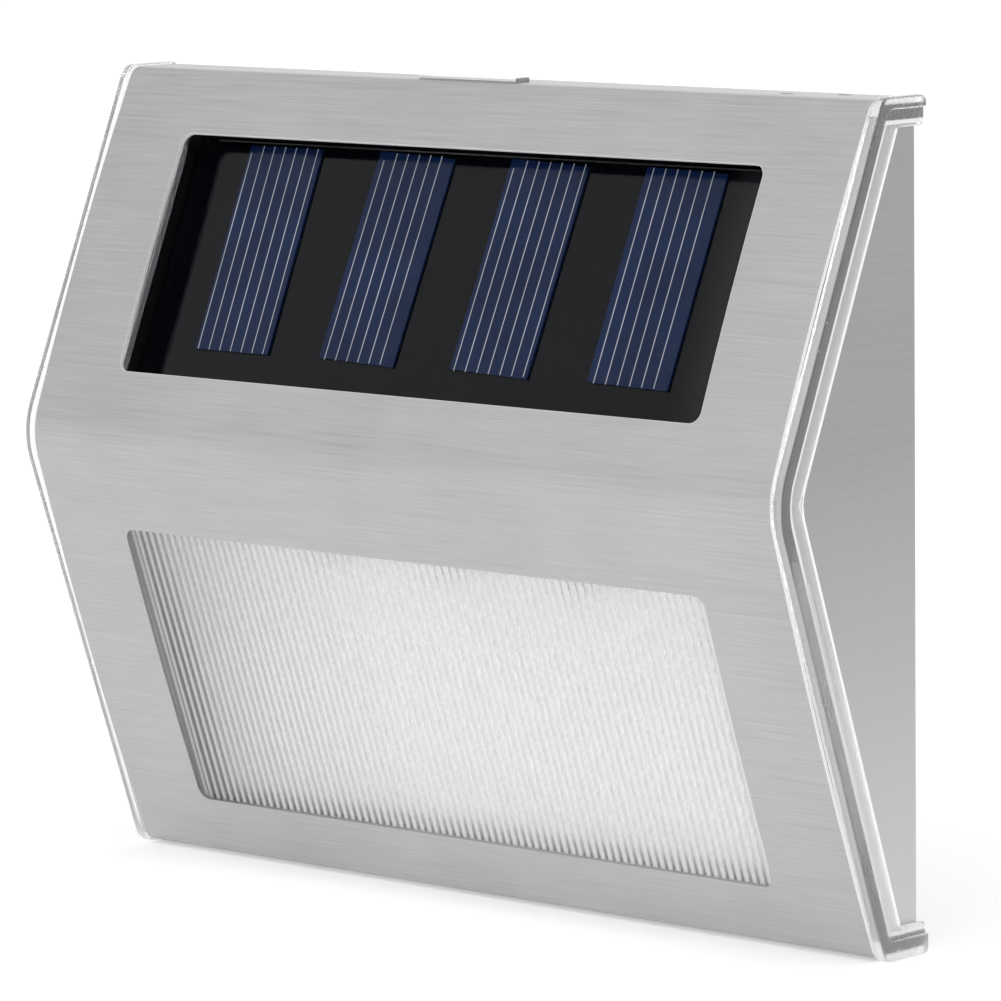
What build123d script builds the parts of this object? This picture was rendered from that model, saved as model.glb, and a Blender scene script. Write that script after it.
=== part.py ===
from build123d import *
import os

# Solar step light: a folded steel cover over one clear moulding, closed by a steel back plate.
# X runs along the width, the wall is the plane Y = 0 with the front towards -Y, and Z is up.
# The origin is the middle of the wall face. All sizes are in millimetres.

# Housing outline, measured over the clear lips
WIDTH = 120.0
HEIGHT = 98.1
FOLD_DEPTH = 27.0  # wall to the sharp corner of the front fold
FOLD_HEIGHT = 54.1  # bottom edge to the fold
RETURN_DEPTH = 8.1  # top and bottom returns, wall to the bend corner
NOSE_R = 10.0  # outer radius of the fold
BEND_R = 2.2  # outer radius of the top and bottom bends
TIGHT_R = 0.3  # least inner radius of a bend
FIT_GAP = 0.1  # between pieces that seat on each other
RUN_GAP = 0.15  # beside pieces that slide, and round pins in their holes

# Steel front cover
SHEET = 0.5
COVER_SET = 0.25  # how far the sheet's corners lie inside the lips
UPPER_BOW = 0.65  # bulge of the pressed panels
LOWER_BOW = 0.65
COVER_BACK = 0.8  # the flange edges stop this short of the wall
WINDOW_R = 1.5
SIDE_MARGIN = 14.0  # overall end to window
SOLAR_ABOVE_FOLD = 8.7  # along the slope
SOLAR_BELOW_TOP = 8.5
LENS_BELOW_FOLD = 12.1
LENS_ABOVE_BOTTOM = 7.9
VENT_LENGTH = 1.9  # two small slots near the right end of the top flange
VENT_WIDTH = 0.9
VENT_PLACES = ((9.8, 2.6), (16.5, 4.6))  # from the right end, from the wall

# Clear body
BODY_WALL = 1.8
LIP_WIDTH = 1.5
LIP_DEPTH = 1.75
LIP_RETURNS = (1.4, 2.3)  # lip depth along the top and bottom returns
LIP_BEND_R = 1.5  # under the lip, at the ends of the returns
LIP_END_R = 0.8
LIP_EDGE_R = 0.35  # round the lip's outer face
EDGE_GAP = 0.2  # sheet edge to lip
SKIRT_STEP = 0.6  # lip face to skirt face
SKIRT = 0.8
SKIRT_DEPTH = 4.8
SKIRT_RETURNS = (3.5, 3.6)
SKIRT_EDGE_R = 0.3  # round the skirt's outer face
REED_PITCH = 1.15
REED_HEIGHT = 0.3
REED_ROOT = 0.6  # how far the reed strip runs into the wall
REED_CLEAR = 0.3  # reeds to the window's sides
REED_UNDER = 1.0  # reeds past the window's top and bottom, under the sheet
POCKET_LEDGE = 0.6  # window edge to pocket wall
POCKET_WALL = 1.5
POCKET_FLOOR = 1.5
BOSS_R = 2.5
BOSS_EDGE = 7.6  # top or bottom edge to a back boss
BOSS_SIDE = 2.8  # pocket wall to a back boss
TAB_WIDTH = 15.4  # snap tab in the top flange
TAB_X = -3.6
TAB_LENGTH = 2.4
TAB_FRONT = 6.6  # wall to the tab's front face
TAB_PROUD = 0.3  # above the lips
TAB_CLEAR = 0.2

# Solar panel
PANEL_RECESS = 3.0  # lip line to the panel's face
RESIN = 0.6
BOARD_BACKING = 1.2
TAPE = 0.7
TAPE_BAND = 6.0
PANEL_CLEAR = 0.3
STRIP_WIDTH = 12.1
STRIP_PITCH = 21.05
STRIP_TOP = 0.4  # panel's top edge to the cell strips
STRIP_FOOT = 4.8  # panel's bottom edge to the cell strips
STRIP = 0.3
STRIP_TILTS = (0.0, -2.2, -2.2, -1.4)  # degrees: the four strips are laid by hand

# White inner frame behind the lens
FRAME_WALL = 1.2
FRAME_ABOVE = 1.5  # lens window to the frame's top, along the slope
FRAME_BELOW = 3.0  # lens window to the frame's bottom, along the slope
FRAME_SIDE = 3.4  # lens window to the chamber's side walls
FRAME_BACK = 9.6  # wall to the frame's back face
FRAME_FOOT = 3.6  # wall to the frame's back face at its foot
LUG_HEIGHT = 7.0
LUG_WIDTH = 6.0
LUG = 1.4
LUG_ROOT = 2.0  # lug on the frame's back
POST_R = 2.2
POST_HEIGHT = 1.0

# Circuit board and what it carries
BOARD_WIDTH = 62.0
BOARD_HEIGHT = 18.0
BOARD = 1.6
BOARD_DROP = 0.85  # frame top to board top
LED_COUNT = 3
LED_PITCH = 20.0
LED_DROP = 3.6  # frame top to the lamps
LED_R = 1.5
LED_FLANGE_R = 1.9
LED_FLANGE = 0.8
LED_LENGTH = 4.0
LED_DOME_R = 1.2
LED_HOLE_CLEAR = 0.2
LEAD_PITCH = 2.54
LEAD_R = 0.3
LEAD_TAIL = 0.8
CHIP_X = -14.0
CHIP_DROP = 3.0  # below the board's middle
CHIP_WIDTH = 5.2
CHIP_HEIGHT = 4.2
CHIP = 1.6
CHIP_BEVEL = 0.5
CHIP_LEGS = 4
CHIP_LEG_PITCH = 1.27
CHIP_LEG = 0.4
CHIP_LEG_LENGTH = 2.6
COIL_X = 15.0
COIL_R = 1.8
COIL_NECK_R = 1.4
COIL_LENGTH = 9.0
COIL_END = 1.6
COIL_LEAD_OUT = 2.0
COIL_LEAD_BEND = 0.6
BOARD_SCREW_X = 27.5
BOARD_SCREW_DROP = 5.0

# Slide switch
SWITCH_LENGTH = 8.6
SWITCH_HEIGHT = 4.4
SWITCH_DEPTH = 4.2
SWITCH_DROP = 5.5  # below the board's middle
SWITCH_LID = 0.6
KNOB_TRAVEL = 2.0
KNOB_LENGTH = 2.0
KNOB_HEIGHT = 1.6
KNOB_SET = 0.3  # below the wall face
KNOB_RIDGE = 0.3
FOOT_LENGTH = 3.4
FOOT_HEIGHT = 2.6
FOOT = 0.9
PIN_PITCH = 2.5

# Battery
CELL_R = 5.25
CELL_LENGTH = 44.5
NUB_R = 1.9
NUB = 0.8
CELL_EDGE_R = 0.6
HOLDER_WALL = 1.2
HOLDER_CLEAR = 0.2
HOLDER_BACK = 2.6  # back plate to the cell
HOLDER_LIP = 1.6  # how far the holder's walls pass the cell's middle
CONTACT = 0.4
CONTACT_SIZE = 7.6
SPRING_ROOM = 2.4
SPRING_WIDTH = 3.8
LEAD_HOLE_R = 1.0

# Insulated leads
WIRE_R = 0.6
WIRE_BEND = 1.6
WIRE_REAR = 4.4  # wall to the leads behind the circuit board
PAD_DROP = 3.0  # board top to the lead pads
SOLAR_LEAD_XS = (-34.0, -31.5)
SOLAR_PAD_XS = (-29.5, -27.0)
SOLAR_LEAD_ALONG = 13.0  # fold corner to the leads, along the slope
SOLAR_LEAD_OUT = 7.0  # straight run from the panel
SOLAR_LEAD_DROP = 11.9  # turn behind the panel to the pads
CELL_LEAD_OUT = 2.6  # straight run out of the holder
CELL_LEAD_DROP = 5.9  # turn beside the holder to the pads
CELL_PAD_X = 23.0

# Steel back plate with an ear at each end
PLATE = 0.5
EAR_DEPTH = 3.2  # lip line to the ear's edge
PLATE_BEND_R = 0.8
SEAL_WIDTH = 1.6
KEYHOLE_X = 40.0
KEYHOLE_Z = 12.0
KEYHOLE_R = 4.0
KEYHOLE_SLOT_R = 2.2
KEYHOLE_RISE = 8.0
KNOB_WINDOW_SIDE = 1.6
KNOB_WINDOW_HEIGHT = 4.2
KNOB_WINDOW_R = 1.0
DIMPLE_R = 3.2
DIMPLE_FOOT_R = 2.6
DIMPLE = 1.3

# Screws
SCREW_R = 1.1
SCREW_HEAD_R = 2.1
SCREW_HEAD = 1.1
SCREW_CROWN = 0.35  # rounding of the heads
SCREW_LENGTH = 5.0
SCREW_CROSS = 2.4
SCREW_CROSS_WIDTH = 0.6
SCREW_CROSS_DEPTH = 0.6
BOARD_SCREW_R = 0.9
BOARD_SCREW_HEAD_R = 1.7
BOARD_SCREW_HEAD = 0.9
BOARD_SCREW_LENGTH = 3.4

# Sizes that follow from the ones above
WINDOW_WIDTH = WIDTH - 2 * SIDE_MARGIN
COVER_HALF = WIDTH / 2 - LIP_WIDTH - EDGE_GAP
SKIRT_OUT = WIDTH / 2 - SKIRT_STEP
EAR_OUT = SKIRT_OUT - SKIRT - FIT_GAP
BODY_SET = COVER_SET + SHEET + FIT_GAP
BODY_IN = BODY_SET + BODY_WALL
BOARD_TOP = PANEL_RECESS + RESIN
TAPE_TOP = BOARD_TOP + BOARD_BACKING
FLOOR_TOP = TAPE_TOP + TAPE
POCKET_BACK = FLOOR_TOP + POCKET_FLOOR

# Section points are pairs of depth (Y) and height (Z); the outline runs from top to bottom.
TOP_WALL = Vector(0, HEIGHT / 2)
TOP_BEND = Vector(-RETURN_DEPTH, HEIGHT / 2)
FOLD = Vector(-FOLD_DEPTH, FOLD_HEIGHT - HEIGHT / 2)
BOTTOM_BEND = Vector(-RETURN_DEPTH, -HEIGHT / 2)
BOTTOM_WALL = Vector(0, -HEIGHT / 2)


def left_of(run):
    """The direction square to a run of the section, on its left."""
    return Vector(-run.Y, run.X)


UPPER_RUN = (TOP_BEND - FOLD).normalized()
UPPER_IN = -left_of(UPPER_RUN)
UPPER_LENGTH = (TOP_BEND - FOLD).length
LOWER_RUN = (BOTTOM_BEND - FOLD).normalized()
LOWER_IN = left_of(LOWER_RUN)
LOWER_LENGTH = (BOTTOM_BEND - FOLD).length

SOLAR_HEIGHT = UPPER_LENGTH - SOLAR_ABOVE_FOLD - SOLAR_BELOW_TOP
SOLAR_MIDDLE = SOLAR_ABOVE_FOLD + SOLAR_HEIGHT / 2
LENS_HEIGHT = LOWER_LENGTH - LENS_BELOW_FOLD - LENS_ABOVE_BOTTOM
LENS_MIDDLE = LENS_BELOW_FOLD + LENS_HEIGHT / 2
POCKET_WIDTH = WINDOW_WIDTH + 2 * POCKET_LEDGE
POCKET_HEIGHT = SOLAR_HEIGHT + 2 * POCKET_LEDGE
PANEL_WIDTH = POCKET_WIDTH - 2 * PANEL_CLEAR
PANEL_HEIGHT = POCKET_HEIGHT - 2 * PANEL_CLEAR

FRAME_FRONT = BODY_IN + FIT_GAP
FRAME_HALF = WINDOW_WIDTH / 2 + FRAME_SIDE + FRAME_WALL
LUG_X = FRAME_HALF + LUG_WIDTH / 2
BOSS_X = POCKET_WIDTH / 2 + POCKET_WALL + BOSS_SIDE + BOSS_R
BOSS_Z = HEIGHT / 2 - BOSS_EDGE
DIMPLE_BACK = -DIMPLE - PLATE  # inner face of a dimple, where the bosses end


def upper_point(along, depth):
    """A section point on the upper panel: up the slope from the fold, and in from the lip line."""
    return FOLD + UPPER_RUN * along + UPPER_IN * depth


def lower_point(along, depth):
    """A section point on the lower panel: down the slope from the fold, and in from the lip line."""
    return FOLD + LOWER_RUN * along + LOWER_IN * depth


def panel_plane(point, inward):
    """A plane on a front panel, with x along the width, y up the slope and z out of the panel."""
    return Plane(origin=(0, point.X, point.Y), x_dir=(1, 0, 0), z_dir=(0, -inward.X, -inward.Y))


SOLAR_PLANE = panel_plane(upper_point(SOLAR_MIDDLE, 0), UPPER_IN)
LENS_PLANE = panel_plane(lower_point(LENS_MIDDLE, 0), LOWER_IN)

FRAME_TOP = lower_point(LENS_BELOW_FOLD - FRAME_ABOVE, FRAME_FRONT).Y
FRAME_BOTTOM = lower_point(LENS_BELOW_FOLD + LENS_HEIGHT + FRAME_BELOW, FRAME_FRONT).Y
BOARD_FRONT_Y = -FRAME_BACK + POST_HEIGHT
BOARD_BACK_Y = BOARD_FRONT_Y + BOARD
BOARD_Z = FRAME_TOP - BOARD_DROP - BOARD_HEIGHT / 2
FRAME_KNEE = BOARD_Z - BOARD_HEIGHT / 2 - FRAME_WALL
LUG_Z = BOARD_Z - LUG_HEIGHT / 2
LUG_BACK_Y = -FRAME_BACK + LUG
LED_Z = FRAME_TOP - LED_DROP
LED_XS = [(place - (LED_COUNT - 1) / 2) * LED_PITCH for place in range(LED_COUNT)]
BOARD_SCREW_Z = BOARD_Z - BOARD_SCREW_DROP
PAD_Z = BOARD_Z + BOARD_HEIGHT / 2 - PAD_DROP

SWITCH_Z = BOARD_Z - SWITCH_DROP
SWITCH_BACK_Y = BOARD_BACK_Y + SWITCH_DEPTH
KNOB_X = -KNOB_TRAVEL / 2  # rest, at the off end of the travel

HOLDER_IN = CELL_R + HOLDER_CLEAR
CELL_Y = -PLATE - HOLDER_BACK - CELL_R
CELL_Z = FRAME_TOP + FIT_GAP + HOLDER_WALL + HOLDER_IN
HOLDER_LENGTH = CELL_LENGTH + CONTACT + SPRING_ROOM
HOLDER_END = HOLDER_LENGTH / 2
NUB_END = HOLDER_END - CONTACT  # the nub's tip, against the positive plate


def inset_corner(before, corner, after, depth_before, depth_after):
    """The corner of two straight runs once each lies its own depth further in."""
    first = left_of((corner - before).normalized())
    second = left_of((after - corner).normalized())
    turn = first.dot(second)
    spread = 1 - turn * turn
    along_first = (depth_before - turn * depth_after) / spread
    along_second = (depth_after - turn * depth_before) / spread
    return corner + first * along_first + second * along_second


def panel_run(start, end, bow):
    """One panel of the outline, straight or bulged outwards by `bow`."""
    if bow == 0:
        return Line(start, end)
    middle = (start + end) / 2 - left_of((end - start).normalized()) * bow
    return ThreePointArc(start, middle, end)


def rounded(face, point, radius):
    """The face with the corner nearest to a point rounded off."""
    corner = face.vertices().sort_by_distance((point.X, point.Y, 0))[0]
    return fillet(corner, radius)


def section(depth, returns=None, upper_bow=0.0, lower_bow=0.0, bend_r=None, end_r=0.0):
    """The housing's outline, `depth` in from the lip line, closed along the wall.

    The top and bottom returns may lie at depths of their own, with their own bend radius.
    """
    top_depth, bottom_depth = returns or (depth, depth)
    top = inset_corner(TOP_WALL, TOP_BEND, FOLD, top_depth, depth)
    fold = inset_corner(TOP_BEND, FOLD, BOTTOM_BEND, depth, depth)
    bottom = inset_corner(FOLD, BOTTOM_BEND, BOTTOM_WALL, depth, bottom_depth)
    top_end = Vector(0, top.Y)
    bottom_end = Vector(0, bottom.Y)
    runs = [
        Line(top_end, top),
        panel_run(top, fold, upper_bow),
        panel_run(fold, bottom, lower_bow),
        Line(bottom, bottom_end),
        Line(bottom_end, top_end),
    ]
    face = rounded(make_face(runs), fold, max(NOSE_R - depth, TIGHT_R))
    for bend in (top, bottom):
        face = rounded(face, bend, bend_r or max(BEND_R - depth, TIGHT_R))
    if end_r > 0:
        for end in (top_end, bottom_end):
            face = rounded(face, end, end_r)
    return Plane.YZ * face


def across(profile, left, right):
    """A section made solid between two places along the width."""
    return Pos(left, 0, 0) * extrude(profile, right - left)


def softened(piece, radius):
    """A piece of the right-hand end with the edges of its outer face rounded."""
    return fillet(piece.faces().sort_by(Axis.X)[-1].edges(), radius)


def both_ends(piece):
    """A piece of the right-hand end together with its mirror image."""
    return piece + mirror(piece, Plane.YZ)


def slab(plane, width, height, corner, near, far):
    """A round-cornered block sunk into a panel, from depth `near` to depth `far`."""
    return extrude(plane.offset(-near) * RectangleRounded(width, height, corner), near - far)


def rod(radius, x, z, front, back):
    """A round bar that runs square to the wall."""
    base = Plane(origin=(x, back, z), x_dir=(1, 0, 0), z_dir=(0, -1, 0))
    return base * Cylinder(radius, back - front, align=(Align.CENTER, Align.CENTER, Align.MIN))


def block(x_span, y_span, z_span):
    """A box between pairs of places along X, Y and Z."""
    spans = (x_span, y_span, z_span)
    middle = [(low + high) / 2 for low, high in spans]
    return Pos(*middle) * Box(*[high - low for low, high in spans])


def screw(x, seat, z, radius, head_r, head, length):
    """A pan-head screw driven in from the wall side, with its head on `seat`."""
    body = rod(radius, x, z, seat - length, seat)
    cap = fillet(rod(head_r, x, z, seat, seat + head).edges().group_by(Axis.Y)[-1], SCREW_CROWN)
    top = seat + head
    half = SCREW_CROSS * head_r / SCREW_HEAD_R / 2
    wide = SCREW_CROSS_WIDTH / 2
    floor = (top - SCREW_CROSS_DEPTH, top)
    cross = block((x - half, x + half), floor, (z - wide, z + wide))
    cross += block((x - wide, x + wide), floor, (z - half, z + half))
    return body + cap - cross


def wire(points):
    """An insulated lead: straight runs joined by tangent bends."""
    path = FilletPolyline(*points, radius=WIRE_BEND)
    start = Plane(origin=path @ 0, z_dir=path % 0)
    return sweep(start * Circle(WIRE_R), path=path)


def tab_block(clear):
    """The snap tab's footprint through the top of the housing."""
    half = TAB_WIDTH / 2 + clear
    depth = (-TAB_FRONT - clear, -TAB_FRONT + TAB_LENGTH + clear)
    height = (HEIGHT / 2 - BODY_IN, HEIGHT / 2 + TAB_PROUD)
    return block((TAB_X - half, TAB_X + half), depth, height)


def front_cover():
    """Brushed sheet folded over the front, with its two windows and the slots in its top flange."""
    outer = section(COVER_SET, upper_bow=UPPER_BOW, lower_bow=LOWER_BOW)
    inner = section(COVER_SET + SHEET, upper_bow=UPPER_BOW, lower_bow=LOWER_BOW)
    sheet = across(outer - inner, -COVER_HALF, COVER_HALF)
    sheet -= block((-WIDTH, WIDTH), (-COVER_BACK, COVER_BACK), (-HEIGHT, HEIGHT))
    reach = BODY_SET + UPPER_BOW
    sheet -= slab(SOLAR_PLANE, WINDOW_WIDTH, SOLAR_HEIGHT, WINDOW_R, -reach, reach)
    sheet -= slab(LENS_PLANE, WINDOW_WIDTH, LENS_HEIGHT, WINDOW_R, -reach, reach)
    sheet -= tab_block(TAB_CLEAR)
    for from_end, from_wall in VENT_PLACES:
        place = Pos(WIDTH / 2 - from_end, -from_wall, HEIGHT / 2 - BODY_SET)
        sheet -= place * extrude(SlotOverall(VENT_LENGTH, VENT_WIDTH), BODY_SET)
    return sheet


def reeds():
    """Half-round upright reeds that fill the lens window."""
    field = WINDOW_WIDTH - 2 * REED_CLEAR
    count = int(field / REED_PITCH)
    left = -count * REED_PITCH / 2
    starts = [left + place * REED_PITCH for place in range(count)]
    crowns = [
        ThreePointArc((x, 0), (x + REED_PITCH / 2, REED_HEIGHT), (x + REED_PITCH, 0)) for x in starts
    ]
    root = Polyline((left, 0), (left, -REED_ROOT), (-left, -REED_ROOT), (-left, 0))
    top = lower_point(LENS_BELOW_FOLD - REED_UNDER, BODY_SET)
    plane = Plane(origin=(0, top.X, top.Y), x_dir=(1, 0, 0), z_dir=(0, LOWER_RUN.X, LOWER_RUN.Y))
    return extrude(plane * make_face(crowns + [root]), LENS_HEIGHT + 2 * REED_UNDER)


def clear_body():
    """The clear moulding: shell, end lips and skirts, panel pocket, reeded lens, bosses and tab."""
    body = across(section(BODY_SET) - section(BODY_IN), -SKIRT_OUT, SKIRT_OUT)
    lip = section(0, end_r=LIP_END_R) - section(LIP_DEPTH, LIP_RETURNS, bend_r=LIP_BEND_R)
    body += both_ends(softened(across(lip, WIDTH / 2 - LIP_WIDTH, WIDTH / 2), LIP_EDGE_R))
    skirt = section(BODY_SET) - section(SKIRT_DEPTH, SKIRT_RETURNS)
    body += both_ends(softened(across(skirt, SKIRT_OUT - SKIRT, SKIRT_OUT), SKIRT_EDGE_R))
    body += tab_block(0)
    outer_w = POCKET_WIDTH + 2 * POCKET_WALL
    outer_h = POCKET_HEIGHT + 2 * POCKET_WALL
    body += slab(SOLAR_PLANE, outer_w, outer_h, WINDOW_R, BODY_SET + BODY_WALL / 2, POCKET_BACK)
    body -= slab(SOLAR_PLANE, POCKET_WIDTH, POCKET_HEIGHT, WINDOW_R, 0, FLOOR_TOP)
    body += reeds()
    inside = across(section(BODY_SET + BODY_WALL / 2), -SKIRT_OUT, SKIRT_OUT)
    back_posts = [(x, z) for x in (-BOSS_X, BOSS_X) for z in (-BOSS_Z, BOSS_Z)]
    lug_posts = [(x, LUG_Z) for x in (-LUG_X, LUG_X)]
    posts = [(*place, DIMPLE_BACK - FIT_GAP) for place in back_posts]
    posts += [(*place, -FRAME_BACK - FIT_GAP) for place in lug_posts]
    for x, z, back in posts:
        body += rod(BOSS_R, x, z, -FOLD_DEPTH, back) & inside
        body -= rod(SCREW_R + RUN_GAP / 2, x, z, back - SCREW_LENGTH, back)
    for x in SOLAR_LEAD_XS:
        body -= lead_hole(x)
    return body


def lead_hole(x):
    """The way through the pocket's floor for one solar lead."""
    point = upper_point(SOLAR_LEAD_ALONG, TAPE_TOP)
    plane = Plane(origin=(x, point.X, point.Y), x_dir=(1, 0, 0), z_dir=(0, UPPER_IN.X, UPPER_IN.Y))
    return extrude(plane * Circle(LEAD_HOLE_R), TAPE + 2 * POCKET_FLOOR)


def strip_places():
    """Where each cell strip lies on the panel: a place on the panel's plane, slightly turned."""
    first = -STRIP_PITCH * (len(STRIP_TILTS) - 1) / 2
    up = (STRIP_FOOT - STRIP_TOP) / 2
    return [
        Pos(first + place * STRIP_PITCH, up) * Rot(Z=tilt) for place, tilt in enumerate(STRIP_TILTS)
    ]


def cell_strips(clear):
    """The cell strips on the board's face, or the hollows in the resin over them."""
    length = PANEL_HEIGHT - STRIP_TOP - STRIP_FOOT + 2 * clear
    plane = SOLAR_PLANE.offset(-BOARD_TOP)
    outline = Rectangle(STRIP_WIDTH + 2 * clear, length)
    return [extrude(plane * place * outline, STRIP + clear) for place in strip_places()]


def solar_cells():
    return Compound(cell_strips(0))


def panel_resin():
    """The glossy clear layer cast over the cells."""
    layer = slab(SOLAR_PLANE, PANEL_WIDTH, PANEL_HEIGHT, WINDOW_R, PANEL_RECESS, BOARD_TOP)
    for hollow in cell_strips(FIT_GAP / 2):
        layer -= hollow
    return layer


def panel_board():
    return slab(SOLAR_PLANE, PANEL_WIDTH, PANEL_HEIGHT, WINDOW_R, BOARD_TOP, TAPE_TOP)


def panel_tape():
    """A frame of foam tape under the panel, notched for the leads."""
    tape = slab(SOLAR_PLANE, PANEL_WIDTH, PANEL_HEIGHT, WINDOW_R, TAPE_TOP, FLOOR_TOP)
    open_w = PANEL_WIDTH - 2 * TAPE_BAND
    open_h = PANEL_HEIGHT - 2 * TAPE_BAND
    tape -= slab(SOLAR_PLANE, open_w, open_h, WINDOW_R, TAPE_TOP, FLOOR_TOP)
    for x in SOLAR_LEAD_XS:
        tape -= lead_hole(x)
    return tape


def lower_at_height(z, depth):
    """The section point at a height on the lower panel's line, in from the lip line."""
    base = FOLD + LOWER_IN * depth
    return Vector(base.X + LOWER_RUN.X * (z - base.Y) / LOWER_RUN.Y, z)


def frame_outline(depth):
    """The inner frame's section, with its open front on the lower panel's line."""
    corners = [
        lower_at_height(FRAME_TOP, depth),
        lower_at_height(FRAME_BOTTOM, depth),
        Vector(-FRAME_FOOT, FRAME_BOTTOM),
        Vector(-FRAME_BACK, FRAME_KNEE),
        Vector(-FRAME_BACK, FRAME_TOP),
    ]
    return make_face(Polyline(*corners, close=True))


def reflector():
    """White frame: a chamber open to the lens, posts for the circuit board and two screw lugs."""
    frame = across(Plane.YZ * frame_outline(FRAME_FRONT), -FRAME_HALF, FRAME_HALF)
    hollow = offset(frame_outline(FRAME_FRONT - 2 * FRAME_WALL), -FRAME_WALL, kind=Kind.INTERSECTION)
    chamber = FRAME_HALF - FRAME_WALL
    frame -= across(Plane.YZ * hollow, -chamber, chamber)
    for side in (-1, 1):
        reach = sorted((side * (FRAME_HALF - LUG_ROOT), side * (FRAME_HALF + LUG_WIDTH)))
        lug_z = (LUG_Z - LUG_HEIGHT / 2, LUG_Z + LUG_HEIGHT / 2)
        frame += block(reach, (-FRAME_BACK, LUG_BACK_Y), lug_z)
        frame -= rod(SCREW_R + RUN_GAP, side * LUG_X, LUG_Z, -FRAME_BACK, LUG_BACK_Y)
        post_x = side * BOARD_SCREW_X
        frame += rod(POST_R, post_x, BOARD_SCREW_Z, -FRAME_BACK - FRAME_WALL / 2, BOARD_FRONT_Y)
        hole_front = BOARD_BACK_Y - BOARD_SCREW_LENGTH - RUN_GAP
        frame -= rod(BOARD_SCREW_R + RUN_GAP / 2, post_x, BOARD_SCREW_Z, hole_front, BOARD_FRONT_Y)
    for x in LED_XS:
        frame -= rod(LED_FLANGE_R + LED_HOLE_CLEAR, x, LED_Z, -FRAME_BACK - FRAME_WALL, BOARD_FRONT_Y)
    return frame


def led_lead_places():
    return [(x + side * LEAD_PITCH / 2, LED_Z) for x in LED_XS for side in (-1, 1)]


def switch_pin_places():
    return [(place * PIN_PITCH, SWITCH_Z) for place in (-1, 0, 1)]


def coil_lead_places():
    reach = COIL_LENGTH / 2 + COIL_LEAD_OUT
    return [(COIL_X + side * reach, BOARD_Z - CHIP_DROP) for side in (-1, 1)]


def circuit_board():
    board_x = (-BOARD_WIDTH / 2, BOARD_WIDTH / 2)
    board_z = (BOARD_Z - BOARD_HEIGHT / 2, BOARD_Z + BOARD_HEIGHT / 2)
    board = block(board_x, (BOARD_FRONT_Y, BOARD_BACK_Y), board_z)
    for x, z in led_lead_places() + switch_pin_places() + coil_lead_places():
        board -= rod(LEAD_R + RUN_GAP / 2, x, z, BOARD_FRONT_Y, BOARD_BACK_Y)
    for x in (-BOARD_SCREW_X, BOARD_SCREW_X):
        board -= rod(BOARD_SCREW_R + RUN_GAP, x, BOARD_SCREW_Z, BOARD_FRONT_Y, BOARD_BACK_Y)
    return board


def leds():
    """Round-topped lamps that look through the frame into the chamber."""
    lamps = []
    for x in LED_XS:
        lamp = rod(LED_FLANGE_R, x, LED_Z, BOARD_FRONT_Y - LED_FLANGE, BOARD_FRONT_Y)
        dome = rod(LED_R, x, LED_Z, BOARD_FRONT_Y - LED_LENGTH, BOARD_FRONT_Y)
        lamps.append(lamp + fillet(dome.edges().group_by(Axis.Y)[0], LED_DOME_R))
    return Compound(lamps)


def led_leads():
    back = BOARD_BACK_Y + LEAD_TAIL
    return Compound([rod(LEAD_R, x, z, BOARD_FRONT_Y, back) for x, z in led_lead_places()])


def driver_chip():
    """Small flat package with a rounded back, lying on the circuit board."""
    z = BOARD_Z - CHIP_DROP
    x_span = (CHIP_X - CHIP_WIDTH / 2, CHIP_X + CHIP_WIDTH / 2)
    z_span = (z - CHIP_HEIGHT / 2, z + CHIP_HEIGHT / 2)
    chip = block(x_span, (BOARD_BACK_Y, BOARD_BACK_Y + CHIP), z_span)
    return chamfer(chip.edges().filter_by(Axis.Z).group_by(Axis.Y)[-1], CHIP_BEVEL)


def chip_legs():
    top = BOARD_Z - CHIP_DROP - CHIP_HEIGHT / 2
    legs = []
    for place in range(CHIP_LEGS):
        x = CHIP_X + (place - (CHIP_LEGS - 1) / 2) * CHIP_LEG_PITCH
        x_span = (x - CHIP_LEG / 2, x + CHIP_LEG / 2)
        legs.append(block(x_span, (BOARD_BACK_Y, BOARD_BACK_Y + CHIP_LEG), (top - CHIP_LEG_LENGTH, top)))
    return Compound(legs)


def inductor():
    """A waisted coil body lying along the circuit board."""
    half = COIL_LENGTH / 2
    neck = half - COIL_END
    profile = Polyline(
        (-half, 0), (-half, COIL_R), (-neck, COIL_R), (-neck, COIL_NECK_R),
        (neck, COIL_NECK_R), (neck, COIL_R), (half, COIL_R), (half, 0), close=True,
    )
    body = revolve(make_face(profile), Axis.X)
    return Pos(COIL_X, BOARD_BACK_Y + COIL_R + FIT_GAP, BOARD_Z - CHIP_DROP) * body


def inductor_leads():
    """Bare wires from the coil's ends, turned down into the circuit board."""
    axis_y = BOARD_BACK_Y + COIL_R + FIT_GAP
    z = BOARD_Z - CHIP_DROP
    leads = []
    for (x, _), side in zip(coil_lead_places(), (-1, 1)):
        start = (COIL_X + side * COIL_LENGTH / 2, axis_y, z)
        path = FilletPolyline(start, (x, axis_y, z), (x, BOARD_FRONT_Y, z), radius=COIL_LEAD_BEND)
        leads.append(sweep(Plane(origin=path @ 0, z_dir=path % 0) * Circle(LEAD_R), path=path))
    return Compound(leads)


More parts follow.
